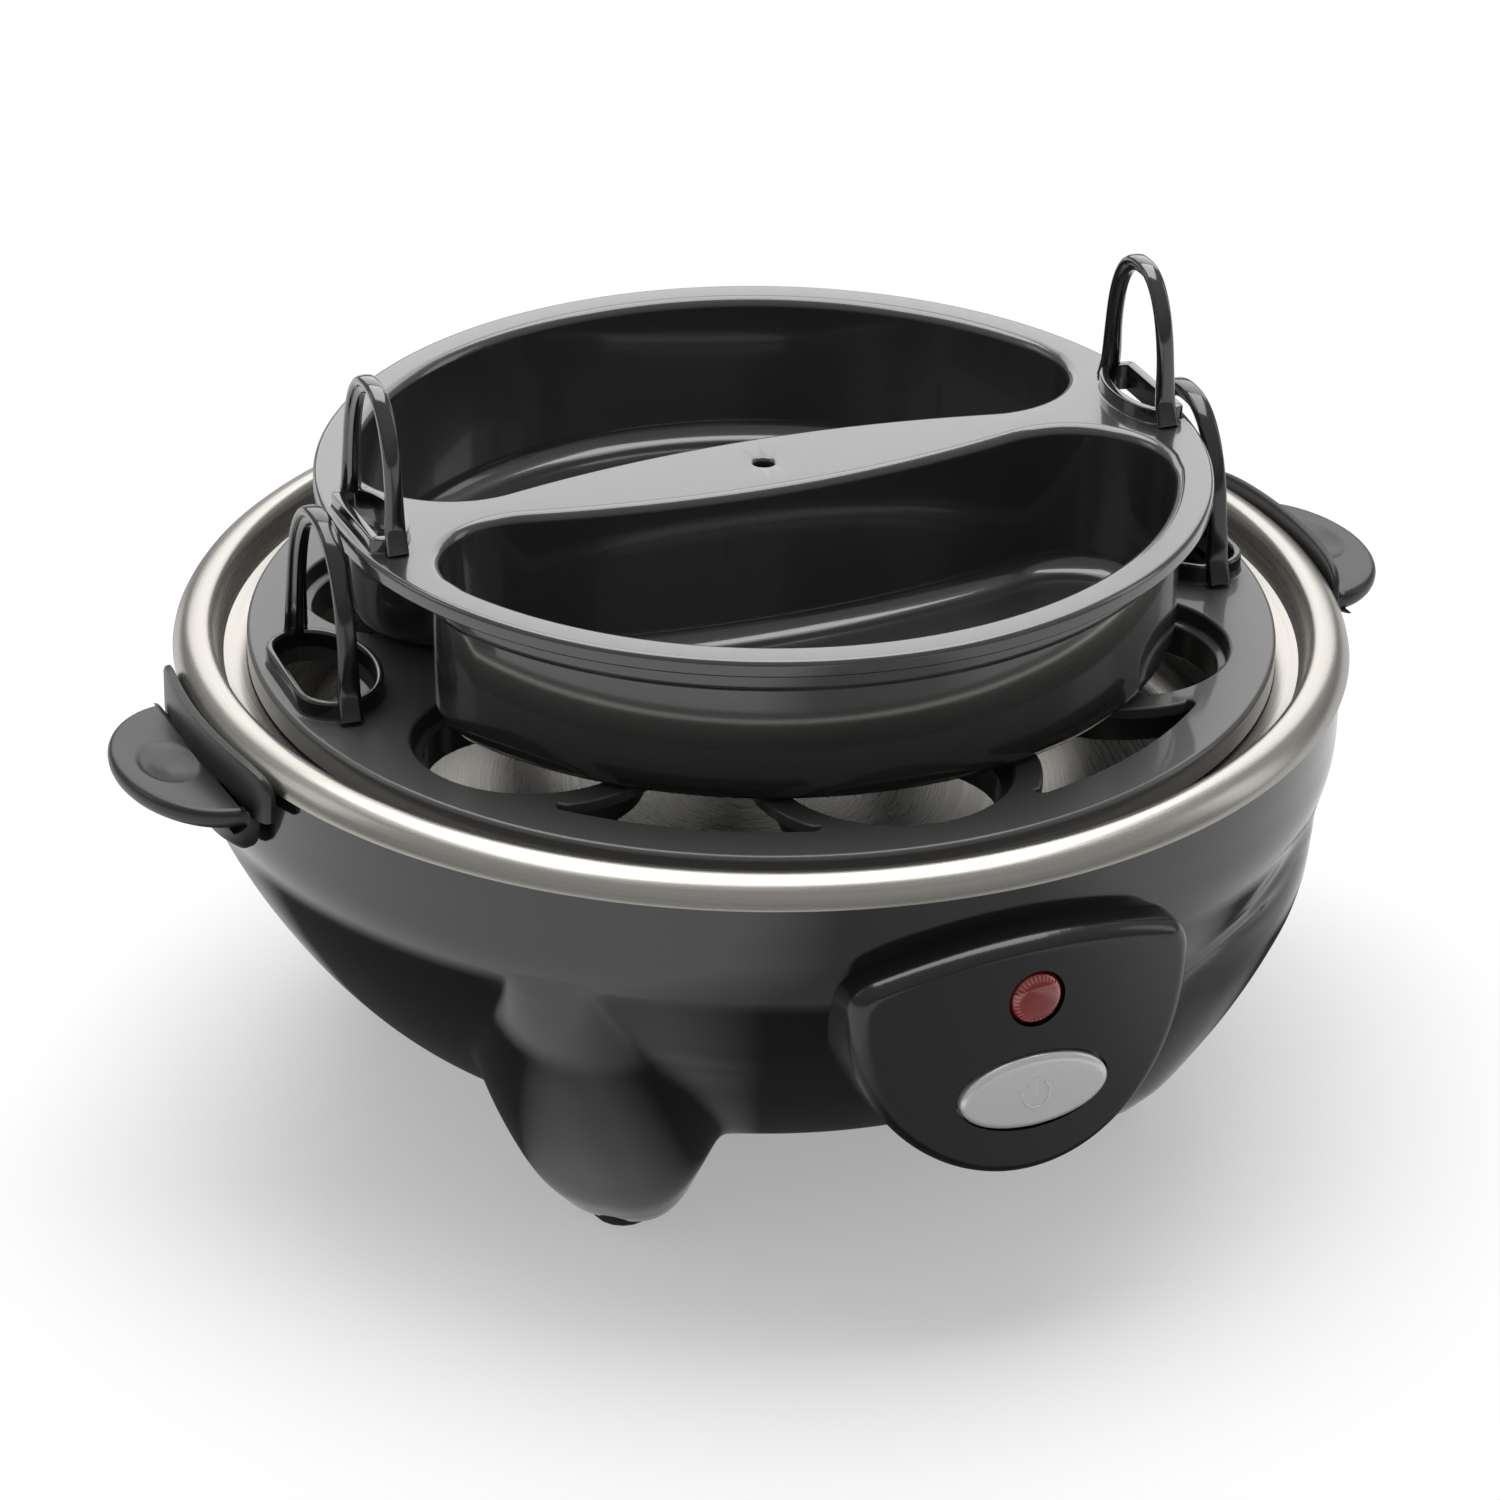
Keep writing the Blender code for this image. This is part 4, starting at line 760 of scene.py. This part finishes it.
# half width, half height and distance out of the panel's face, from the domed middle to the stem's end
button_steps = [((half_wide - edge_inset) * part, (half_high - edge_inset) * part, rise)
                for part, rise in ((0.25, 0.80), (0.5, 0.77), (0.75, 0.72))]
button_steps += [(half_wide - inset, half_high - inset, rise - 0.25)
                 for inset, rise in reversed(quarter(edge_inset, depth=0.9, count=7))]
button_steps += [(half_wide + grow, half_high + grow, -depth)
                 for grow, depth in ((0.0, 2.8), (1.4, 2.8), (1.4, 4.0))]
button_steps += [(2.2, 2.2, -4.0), (2.2, 2.2, -10.0)]
button_loops = [loop_of(button, upright(oval(wide, high, BUTTON_HEIGHT), PANEL_FACE + out))
                for wide, high, out in button_steps]
bridged(button, button_loops)
capped(button, button_loops[-1], button_loops[0])


def drawn_through(work, ring, placements):
    """Draws a closed ring of points through a row of placements and closes both ends."""
    first = loop_of(work, [placements[0] @ Vector(point) for point in ring])
    last = first
    for before, after in zip(placements, placements[1:]):
        made = bmesh.ops.extrude_edge_only(work, edges=last)["geom"]
        last = [item for item in made if isinstance(item, bmesh.types.BMEdge) and item.is_boundary]
        moved = [item for item in made if isinstance(item, bmesh.types.BMVert)]
        bmesh.ops.transform(work, matrix=after @ before.inverted(), verts=moved)
    capped(work, first, last)


def placement(origin, side, out, forward):
    """A placement with its X along side, its Y along out and its Z along forward."""
    return Matrix((
        (side[0], out[0], forward[0], origin[0]),
        (side[1], out[1], forward[1], origin[1]),
        (side[2], out[2], forward[2], origin[2]),
        (0.0, 0.0, 0.0, 1.0),
    ))


def heading(places, i):
    """The direction of a line of places at one of them."""
    before = Vector(places[max(i - 1, 0)])
    after = Vector(places[min(i + 1, len(places) - 1)])
    return (after - before).normalized()


SIGN_RADIUS = 2.15
SIGN_WIDTH = 0.46
SIGN_RISE = 0.24
SIGN_BASE = PANEL_FACE + 0.75


def ridge_along(work, places):
    """A low rounded ridge along places of (x, height) on the button's face."""
    ring = [(SIGN_WIDTH / 2 * math.cos(a), SIGN_RISE * math.sin(a), 0.0) for a in up_to(math.pi, 6)]
    ring.append((0.0, -0.3, 0.0))
    placements = []
    for i, (x, z) in enumerate(places):
        forward = heading(places, i)
        placements.append(placement((x, -SIGN_BASE, z), (forward.y, 0.0, -forward.x), (0.0, -1.0, 0.0),
                                    (forward.x, 0.0, forward.y)))
    drawn_through(work, ring, placements)


sign_turn = [math.radians(125.0 + 290.0 * i / 40) for i in range(41)]
sign_centre = BUTTON_HEIGHT - 0.3
ridge_along(button, [(SIGN_RADIUS * math.cos(a), sign_centre + SIGN_RADIUS * math.sin(a))
                     for a in sign_turn])
ridge_along(button, [(0.0, BUTTON_HEIGHT - 0.2 + 0.25 * i) for i in range(12)])
silver_button = finished("silver_button", button, 40.0)
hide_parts("power_button")
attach(silver_button, "button")

silver, tree, surface = material_of("silver_coating", (0.66, 0.66, 0.66))
put(surface, {"Metallic": 0.65})
place = node_of(tree, "TexCoord")
flake = node_of(tree, "TexNoise", {"Scale": 4200.0, "Detail": 1.0})
flake_rough = range_of(tree, 0.0, 1.0, 0.24, 0.40)
flake_tone = node_of(tree, "Mix", {"A": (0.64, 0.64, 0.65, 1.0), "B": (0.80, 0.80, 0.80, 1.0)},
                     data_type="RGBA")
wire(
    tree, (place, "Object", flake, "Vector"), (flake, "Fac", flake_rough, "Value"),
    (flake, "Fac", flake_tone, "Factor"), (flake_rough, "Result", surface, "Roughness"),
    (flake_tone, "Result", surface, "Base Color"),
)
silver_button.data.materials.append(silver)


# Side handles: a black moulded thumb tab with a dished oval, a thin curved guard that keeps fingers
# off the hot rim, and a rounded root under the tab where two screws from inside hold it to the bowl.
GUARD_INSIDE = 91.0
GUARD_THICKNESS = 1.7
GUARD_TOP = 75.2
HANDLE_REACH = 105.0
HANDLE_HALF_WIDTH = 19.0
HANDLE_TOP = 68.8
DISH_MIDDLE = 97.2
DISH_HALF = (4.3, 6.6)
DISH_DEPTH = 0.85
DISH_LIP = 0.25


def bent_bar(work, outline, anchor, half_angle, count, end_share):
    """An outline of (radius, height) bent about Z that shrinks to its anchor towards both ends."""
    to_anchor = Matrix.Translation((anchor[0], 0.0, anchor[1]))
    placements = []
    for i in range(count + 1):
        place = 2.0 * i / count - 1.0
        share_here = end_share + (1.0 - end_share) * math.sqrt(max(0.0, 1.0 - place ** 6))
        swing = Matrix.Rotation(math.radians(half_angle * place), 4, "Z")
        placements.append(swing @ to_anchor @ Matrix.Scale(share_here, 4) @ to_anchor.inverted())
    drawn_through(work, [(radius, 0.0, height) for radius, height in outline], placements)


def handle_tab(work):
    """The flat tab: half an ellipse with rounded edges, and a shallow oval dish in its top."""
    inside = GUARD_INSIDE + 0.2
    half_oval = [(inside + (HANDLE_REACH - inside) * math.cos(a), HANDLE_HALF_WIDTH * math.sin(a))
                 for a in [math.radians(-90.0 + 180.0 * i / 60) for i in range(61)]]
    steps = [(-2.6 + 2.6 * math.sin(a), HANDLE_TOP - 3.7 + 2.4 * (1.0 - math.cos(a)))
             for a in up_to(math.pi / 2, 6)]
    steps += [(-inset, HANDLE_TOP - 1.2 + rise) for inset, rise in quarter(1.2, 1.2, 6)]
    rings = [loop_of(work, [(x, y, height) for x, y in outwards(half_oval, grow)]) for grow, height in steps]
    bridged(work, rings)
    capped(work, rings[0])
    # rings of the dish as shares of its size, closest together where its lip turns over
    dish = []
    for reach in [0.04, 0.3, 0.5, 0.65, 0.76, 0.84, 0.9, 0.95, 1.0, 1.05, 1.1, 1.16, 1.24]:
        lift = -DISH_DEPTH * (1.0 - ease(reach / 1.16)) - DISH_LIP * (1.0 - ease((reach - 0.8) / 0.3))
        outline = oval(DISH_HALF[0] * reach, DISH_HALF[1] * reach, 0.0, 64)
        dish.append(loop_of(work, [(DISH_MIDDLE + x, y, HANDLE_TOP + lift) for x, y in outline]))
    bridged(work, dish)
    capped(work, dish[0])
    edges = rings[-1] + dish[-1]
    bmesh.ops.triangle_fill(work, use_beauty=True, use_dissolve=False, edges=edges, normal=(0, 0, 1))


handle_black = plastic("handle_satin_black", (0.013, 0.0127, 0.013), roughness=0.28, haze=0.12,
                       peel_size=420.0, peel_depth=0.012, dust=0.04)
for name, node, side in (("right_handle", "side_handle_right", 0.0),
                         ("left_handle", "side_handle_left", 180.0)):
    handle = bmesh.new()
    handle_tab(handle)
    guard_out = GUARD_INSIDE + GUARD_THICKNESS
    guard_line = [(GUARD_INSIDE, 66.8), (guard_out, 66.8), (guard_out, GUARD_TOP - 1.0),
                  (guard_out - 0.3, GUARD_TOP - 0.3), (guard_out - 1.0, GUARD_TOP),
                  (GUARD_INSIDE + 0.3, GUARD_TOP - 0.2), (GUARD_INSIDE, GUARD_TOP - 0.7)]
    bent_bar(handle, guard_line, anchor=(GUARD_INSIDE, 68.4), half_angle=14.0, count=60, end_share=0.55)
    root_line = [(90.2, 67.0), (89.6, 60.5), (90.2, 58.6), (91.4, 58.5), (93.0, 59.9), (95.0, 62.8),
                 (96.6, 67.0)]
    bent_bar(handle, root_line, anchor=(90.4, 67.0), half_angle=10.5, count=40, end_share=0.3)
    turn_all(handle, side)
    tab = finished(name, handle, 42.0)
    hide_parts(node)
    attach(tab, "base")
    tab.data.materials.append(handle_black)


# Egg tray: a black heat-proof moulding that rests on the pan's ledge. It has seven stepped egg cups,
# four steam slots, and at each side a D-shaped collar with an arched lifting loop.
EGG_TRAY_RADIUS = 79.0
EGG_TRAY_TOP = 74.4
EGG_TRAY_PLATE = 1.8
EGG_TRAY_TURN = -3.8
EGG_HOLE_RADIUS = 17.5
EGG_HOLE_CIRCLE = 54.5
EGG_COLLAR_TOP = EGG_TRAY_TOP + 3.2
EGG_LOOP_TOP = 102.8
SLOT_LAND = 4.4


def flat_arc(radius, start, end, count, centre=(0.0, 0.0)):
    """Points of an arc in the XY plane, angles in degrees, both ends included."""
    return [(centre[0] + radius * math.cos(math.radians(start + (end - start) * i / count)),
             centre[1] + radius * math.sin(math.radians(start + (end - start) * i / count)))
            for i in range(count + 1)]


def turned_by(outline, degrees):
    """Turns an outline of (x, y) about the axis."""
    c, s = math.cos(math.radians(degrees)), math.sin(math.radians(degrees))
    return [(c * x - s * y, s * x + c * y) for x, y in outline]


def lying(outline, height):
    """Lays an outline of (x, y) down at a height."""
    return [(x, y, height) for x, y in outline]


def steam_slot():
    """Outline of the slot between two cups, drawn on the +X side."""
    cup = (EGG_HOLE_CIRCLE * math.cos(math.radians(30.0)), EGG_HOLE_CIRCLE * math.sin(math.radians(30.0)))
    # the slot runs round both cups at an even distance, with a short inner end and round outer tips
    upper = flat_arc(EGG_HOLE_RADIUS + SLOT_LAND, -25.0, -82.0, 16, cup)
    inner = flat_arc(5.4, 120.0, 240.0, 8, (47.6, 0.0))
    lower = [(x, -y) for x, y in reversed(upper)]
    tip_low = flat_arc(1.4, -110.0, -10.0, 6, (67.3, -17.9))
    outer = flat_arc(71.0, -13.2, 13.2, 10)
    tip_high = [(x, -y) for x, y in reversed(tip_low)]
    return lower + tip_low + outer + tip_high + upper + inner


def collar_outline(outer, inner, half_width, flat_half):
    """Outline of a D-shaped collar: a straight side towards the rim, round towards the middle."""
    # the straight side's ends bend round within this share of the collar's depth
    bend_share = 0.42
    centre = outer - bend_share * (outer - inner)
    flat = [(outer, flat_half * (-1.0 + i / 4)) for i in range(9)]
    depth = centre - inner
    curve = [(centre - depth * math.sin(a), half_width * math.cos(a)) for a in up_to(math.pi, 36)]
    bend = [(centre + (outer - centre) * math.cos(a), flat_half + (half_width - flat_half) * math.sin(a))
            for a in up_to(math.pi / 2, 6)[1:-1]]
    return flat + bend + curve + [(x, -y) for x, y in reversed(bend)]


def loop_arch(half, rise, foot, count, flare):
    """Points of (across, height) up and over an arched loop, its feet flaring out."""
    points = []
    # both powers are below one, which squares the arch's shoulders a little
    for i in range(count + 1):
        a = math.pi * i / count
        up = math.sin(a) ** 0.72 * rise
        lean = flare * max(0.0, 1.0 - up / 4.5) ** 2
        points.append((math.copysign(abs(math.cos(a)) ** 0.86 * half + lean, math.cos(a)), foot + up))
    return points


def lifting_loop(work, plane, foot, top, half, widths, thicknesses, turn):
    """An arched band with a rib along its inside, standing across the X axis at a distance from it."""
    wide, rib = widths
    skin, deep = thicknesses
    arch = loop_arch(half, top - foot, foot, count=56, flare=1.3)
    # half of the section, (across, inwards): the rounded band and the rib along its inside
    half_section = [(0.0, 0.0), (wide / 2 - 0.80, 0.04), (wide / 2 - 0.36, 0.18), (wide / 2 - 0.09, 0.45),
                    (wide / 2, 0.8), (wide / 2 - 0.09, skin - 0.25), (wide / 2 - 0.35, skin),
                    (rib / 2 + 0.12, skin + 0.12), (rib / 2, skin + 0.4), (rib / 2 - 0.06, deep - 0.45),
                    (rib / 2 - 0.25, deep - 0.12), (0.0, deep)]
    section = half_section + [(-side, depth) for side, depth in reversed(half_section[1:-1])]
    swing = Matrix.Rotation(math.radians(turn), 4, "Z")
    placements = []
    for i, (y, z) in enumerate(arch):
        forward = heading(arch, i)
        # the band broadens towards its feet
        broader = 0.96 + 0.22 * (1.0 - ease((z - foot) / (0.45 * (top - foot))))
        placements.append(swing @ placement((plane, y, z), (broader, 0.0, 0.0), (0.0, -forward.y, forward.x),
                                            (0.0, forward.x, forward.y)))
    drawn_through(work, [(side, depth, 0.0) for side, depth in section], placements)


def walled(work, levels, top_loops, low_loops):
    """Joins levels of (outline, height) into a wall, and adds its first and last loop to the lists."""
    loops = [loop_of(work, lying(outline, height)) for outline, height in levels]
    bridged(work, loops)
    top_loops.append(loops[0])
    low_loops.append(loops[-1])


def grown(outline, steps, level):
    """Levels of an outline moved outwards and up from a level, through steps of (grow, rise)."""
    return [(outwards(outline, grow), level + rise) for grow, rise in steps]


def round_plate(work, steps, top_loops, low_loops):
    """The rim of a round plate through steps of (radius, height)."""
    last_corner = 360.0 - 360.0 / 216
    walled(work, [(flat_arc(radius, 0.0, last_corner, 215), height) for radius, height in steps],
           top_loops, low_loops)


def edge_round(radius, count=4):
    """(outwards, down) steps over a rounded edge, from the flat top to the wall."""
    return [(radius * math.cos(a), -radius * (1.0 - math.sin(a))) for a in
            [math.pi / 2 * (1.0 - i / count) for i in range(count + 1)]]


tray = bmesh.new()
plate_low = EGG_TRAY_TOP - EGG_TRAY_PLATE
top_loops, low_loops = [], []
rim_steps = [(EGG_TRAY_RADIUS - 0.9 + out, EGG_TRAY_TOP + down) for out, down in edge_round(0.9)]
rim_steps += [(EGG_TRAY_RADIUS, 70.3), (EGG_TRAY_RADIUS - 1.6, 70.3), (EGG_TRAY_RADIUS - 1.7, plate_low)]
round_plate(tray, rim_steps, top_loops, low_loops)
cup_steps = [(0.6 - out, down) for out, down in edge_round(0.6)]
cup_steps += [(-0.2, -2.4), (-0.5, -2.7), (-1.3, -2.8), (-1.6, -3.1), (-1.9, -7.7), (-1.6, -8.0),
              (-0.6, -8.0), (-0.3, -7.7), (1.2, -EGG_TRAY_PLATE)]
cups = [(0.0, 0.0)] + [(EGG_HOLE_CIRCLE * math.cos(a), EGG_HOLE_CIRCLE * math.sin(a))
                       for a in [math.radians(30.0 + 60.0 * i) for i in range(6)]]
for centre in cups:
    walled(tray, [(flat_arc(EGG_HOLE_RADIUS + out, 0.0, 355.0, 71, centre), EGG_TRAY_TOP + down)
                  for out, down in cup_steps], top_loops, low_loops)
for angle in (60.0, 120.0, 240.0, 300.0):
    outline = turned_by(steam_slot(), angle)
    steps = [(0.4 - out, down) for out, down in edge_round(0.4)] + [(0.0, -EGG_TRAY_PLATE)]
    walled(tray, grown(outline, steps, EGG_TRAY_TOP), top_loops, low_loops)
for angle in (0.0, 180.0):
    outline = turned_by(collar_outline(outer=77.0, inner=61.8, half_width=13.4, flat_half=7.4), angle)
    # up the outside of the collar's lip, over its round top and down through the plate
    steps = [(0.5, 0.0), (0.15, 0.12), (0.0, 0.5), (-0.05, 2.7), (-0.16, 3.02), (-0.42, 3.18), (-0.7, 3.2),
             (-1.0, 3.12), (-1.25, 2.9), (-1.35, 2.6), (-1.7, -EGG_TRAY_PLATE)]
    walled(tray, grown(outline, steps, EGG_TRAY_TOP), top_loops, low_loops)
flat_with_holes(tray, top_loops)
flat_with_holes(tray, low_loops)
for turn_here in (0.0, 180.0):
    lifting_loop(tray, plane=70.6, foot=EGG_COLLAR_TOP - 2.4, top=EGG_LOOP_TOP, half=14.0,
                 widths=(3.2, 1.6), thicknesses=(1.6, 2.9), turn=turn_here)
turn_all(tray, EGG_TRAY_TURN)
egg_moulding = even_faced("egg_tray_moulding", tray)
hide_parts("egg_tray")
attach(egg_moulding, "egg_tray")
# painted sheen: the plate's colour is lighter than the moulding's black, and lighter than the poaching
# tray's, for the grey sheen of its lit top; the loops above it get the deep black
egg_tray_black_painted_sheen = plastic("egg_tray_black_painted_sheen", (0.050, 0.049, 0.048), roughness=0.44, haze=0.06,
                         peel_size=300.0, peel_depth=0.004, dust=0.03, coat=0.45)
polish_above_and_paint_sheen_below(egg_tray_black_painted_sheen, EGG_TRAY_TOP + 0.2, (0.010, 0.0098, 0.0095), roughness=0.16)
egg_moulding.data.materials.append(egg_tray_black_painted_sheen)


# Poaching tray: the same black moulding, a round plate with a lipped rim and two kidney-shaped wells
# that hang from it, a small vent in its middle, and a collar with a lifting loop at each side.
POACH_RADIUS = 68.4
POACH_TOP = 100.3
POACH_TURN = -1.8
POACH_WALL = 1.8
POACH_LOOP_TOP = 124.2
WELL_RADIUS = 62.5
WELL_CORNER = 15.0
WELL_CORNER_PLACE = (43.5, 19.2)
LAND_HALF = 9.3
WELL_DEPTH = 23.95


def well_outline():
    """One well, on the +Y side: the rim's arc, two round corners and the land's long curve."""
    corner_x, corner_y = WELL_CORNER_PLACE
    outer = flat_arc(WELL_RADIUS, 23.8, 156.2, 60)
    left = flat_arc(WELL_CORNER, 176.0, 283.0, 22, (-corner_x, corner_y))
    right = flat_arc(WELL_CORNER, -103.0, 4.0, 22, (corner_x, corner_y))
    land = [(x, LAND_HALF - 4.72 * (x / 40.1) ** 2) for x in [-38.0 + 4.0 * i for i in range(20)]]
    return outer + left + land + right


poach = bmesh.new()
plate_low = POACH_TOP - POACH_WALL
top_loops, low_loops = [], []
rim_steps = [(POACH_RADIUS - 0.9 + out, POACH_TOP + down) for out, down in edge_round(0.9)]
rim_steps += [(POACH_RADIUS, POACH_TOP - 2.3), (POACH_RADIUS - 0.3, POACH_TOP - 2.6),
              (POACH_RADIUS - 1.2, POACH_TOP - 2.6), (POACH_RADIUS - 1.5, plate_low)]
round_plate(poach, rim_steps, top_loops, low_loops)
inner_steps = [(1.7 - out, down) for out, down in edge_round(1.7, 6)]
inner_steps += [(-0.4, -8.0), (-0.8, -20.4), (-1.2, -22.0), (-2.2, -23.2), (-3.6, -23.8),
                (-5.0, -WELL_DEPTH)]
outer_steps = [(2.0, -POACH_WALL), (2.0, -5.8), (1.8, -6.5), (1.4, -7.0), (1.1, -22.4), (0.8, -24.0),
               (0.1, -25.0), (-0.9, -25.45), (-2.2, EGG_TRAY_TOP + 0.3 - POACH_TOP)]
for angle in (0.0, 180.0):
    outline = turned_by(well_outline(), angle)
    well_floors = []
    for steps, plate_loops in ((inner_steps, top_loops), (outer_steps, low_loops)):
        walled(poach, grown(outline, steps, POACH_TOP), plate_loops, well_floors)
    for floor_loop in well_floors:
        flat_with_holes(poach, [floor_loop])
for angle in (0.0, 180.0):
    outline = turned_by(collar_outline(outer=66.6, inner=58.4, half_width=9.8, flat_half=8.4), angle)
    steps = [(0.4, 0.0), (0.12, 0.1), (0.0, 0.4), (0.0, 2.1), (-0.12, 2.32), (-0.35, 2.4), (-1.1, 2.4),
             (-1.4, 2.3), (-1.5, 2.0), (-1.6, -POACH_WALL)]
    walled(poach, grown(outline, steps, POACH_TOP), top_loops, low_loops)
vent_steps = [(2.2, 0.0), (1.7, -0.25), (1.5, -0.7), (1.5, -POACH_WALL)]
walled(poach, [(flat_arc(radius, 0.0, 345.0, 23), POACH_TOP + down) for radius, down in vent_steps],
       top_loops, low_loops)
flat_with_holes(poach, top_loops)
flat_with_holes(poach, low_loops)
for turn_here in (0.0, 180.0):
    lifting_loop(poach, plane=63.0, foot=POACH_TOP + 0.4, top=POACH_LOOP_TOP, half=10.3,
                 widths=(2.9, 1.5), thicknesses=(1.5, 2.6), turn=turn_here)
turn_all(poach, POACH_TURN)
poach_moulding = even_faced("poaching_tray_moulding", poach)
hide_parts("poaching_tray")
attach(poach_moulding, "poaching_tray")
# painted sheen: the plate's colour is lighter than the moulding's black, for the sheen of its lit faces; the
# loops above it get the deep black
poaching_tray_black_painted_sheen = plastic("poaching_tray_black_painted_sheen", (0.024, 0.0235, 0.023), roughness=0.24, haze=0.06,
                              peel_size=300.0, peel_depth=0.004, dust=0.03, coat=1.0)
polish_above_and_paint_sheen_below(poaching_tray_black_painted_sheen, POACH_TOP + 0.2, (0.010, 0.0098, 0.0095), roughness=0.16)
poach_moulding.data.materials.append(poaching_tray_black_painted_sheen)


# Rubber feet: soft black plugs that are pressed into round pockets under the legs. They stand a little
# over a millimetre proud and keep the housing off the table.
rubber = plastic("black_rubber", (0.028, 0.028, 0.028), roughness=0.62, haze=0.15, peel_size=700.0,
                 peel_depth=0.05, dust=0.12)
for index in range(4):
    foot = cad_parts[f"rubber_foot_{index + 1}"]
    foot.data.materials.clear()
    foot.data.materials.append(rubber)


# Small and inner pieces keep their CAD shape: the slotted cover and its screws under the base, the cord
# gland in the rear wall, and the heater, switch, lamp, terminals and leads inside.
nylon = plastic("black_nylon", (0.05, 0.05, 0.05), roughness=0.45, haze=0.15, peel_size=800.0,
                peel_depth=0.03, dust=0.10)
cover_black = plastic("cover_satin_black", (0.035, 0.034, 0.036), roughness=0.36, haze=0.15,
                      peel_size=500.0, peel_depth=0.04, dust=0.10)
zinc = spun_metal("zinc_plated_steel", (0.66, 0.66, 0.64), dark=(0.50, 0.50, 0.49), roughness=0.28,
                  line_size=900.0, depth=0.01)
aluminium = spun_metal("pressed_aluminium", (0.80, 0.80, 0.81), dark=(0.66, 0.66, 0.67), roughness=0.32,
                       line_size=700.0, depth=0.01)
inner_steel = spun_metal("heater_steel", (0.60, 0.57, 0.53), dark=(0.42, 0.40, 0.38), roughness=0.25,
                         line_size=1200.0, depth=0.01)
steatite = plastic("white_steatite", (0.80, 0.79, 0.75), roughness=0.35, haze=0.20, peel_size=500.0,
                   peel_depth=0.03, dust=0.10)
sleeve = plastic("heat_proof_sleeve", (0.76, 0.73, 0.64), roughness=0.60, haze=0.20, peel_size=2400.0,
                 peel_depth=0.10, dust=0.15)
glass = plastic("neon_glass", (0.85, 0.62, 0.45), roughness=0.05, haze=0.02, peel_size=200.0,
                peel_depth=0.0, dust=0.0, coat=1.0)
finishes = {
    "bottom_cover": cover_black, "cord_gland": nylon, "switch_body": nylon, "thermostat": nylon,
    "heat_spreader": aluminium, "heating_element": inner_steel, "button_spring": inner_steel,
    "terminal_block": steatite, "thermal_fuse": sleeve, "neon_lamp": glass,
    "thermostat_bracket": zinc, "fuse_clip": zinc,
}
for name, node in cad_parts.items():
    if name in finishes:
        finish_here = finishes[name]
    elif "screw" in name or name.startswith("pan_bracket"):
        finish_here = zinc
    elif name.startswith("lead_"):
        finish_here = sleeve
    else:
        continue
    node.data.materials.clear()
    node.data.materials.append(finish_here)
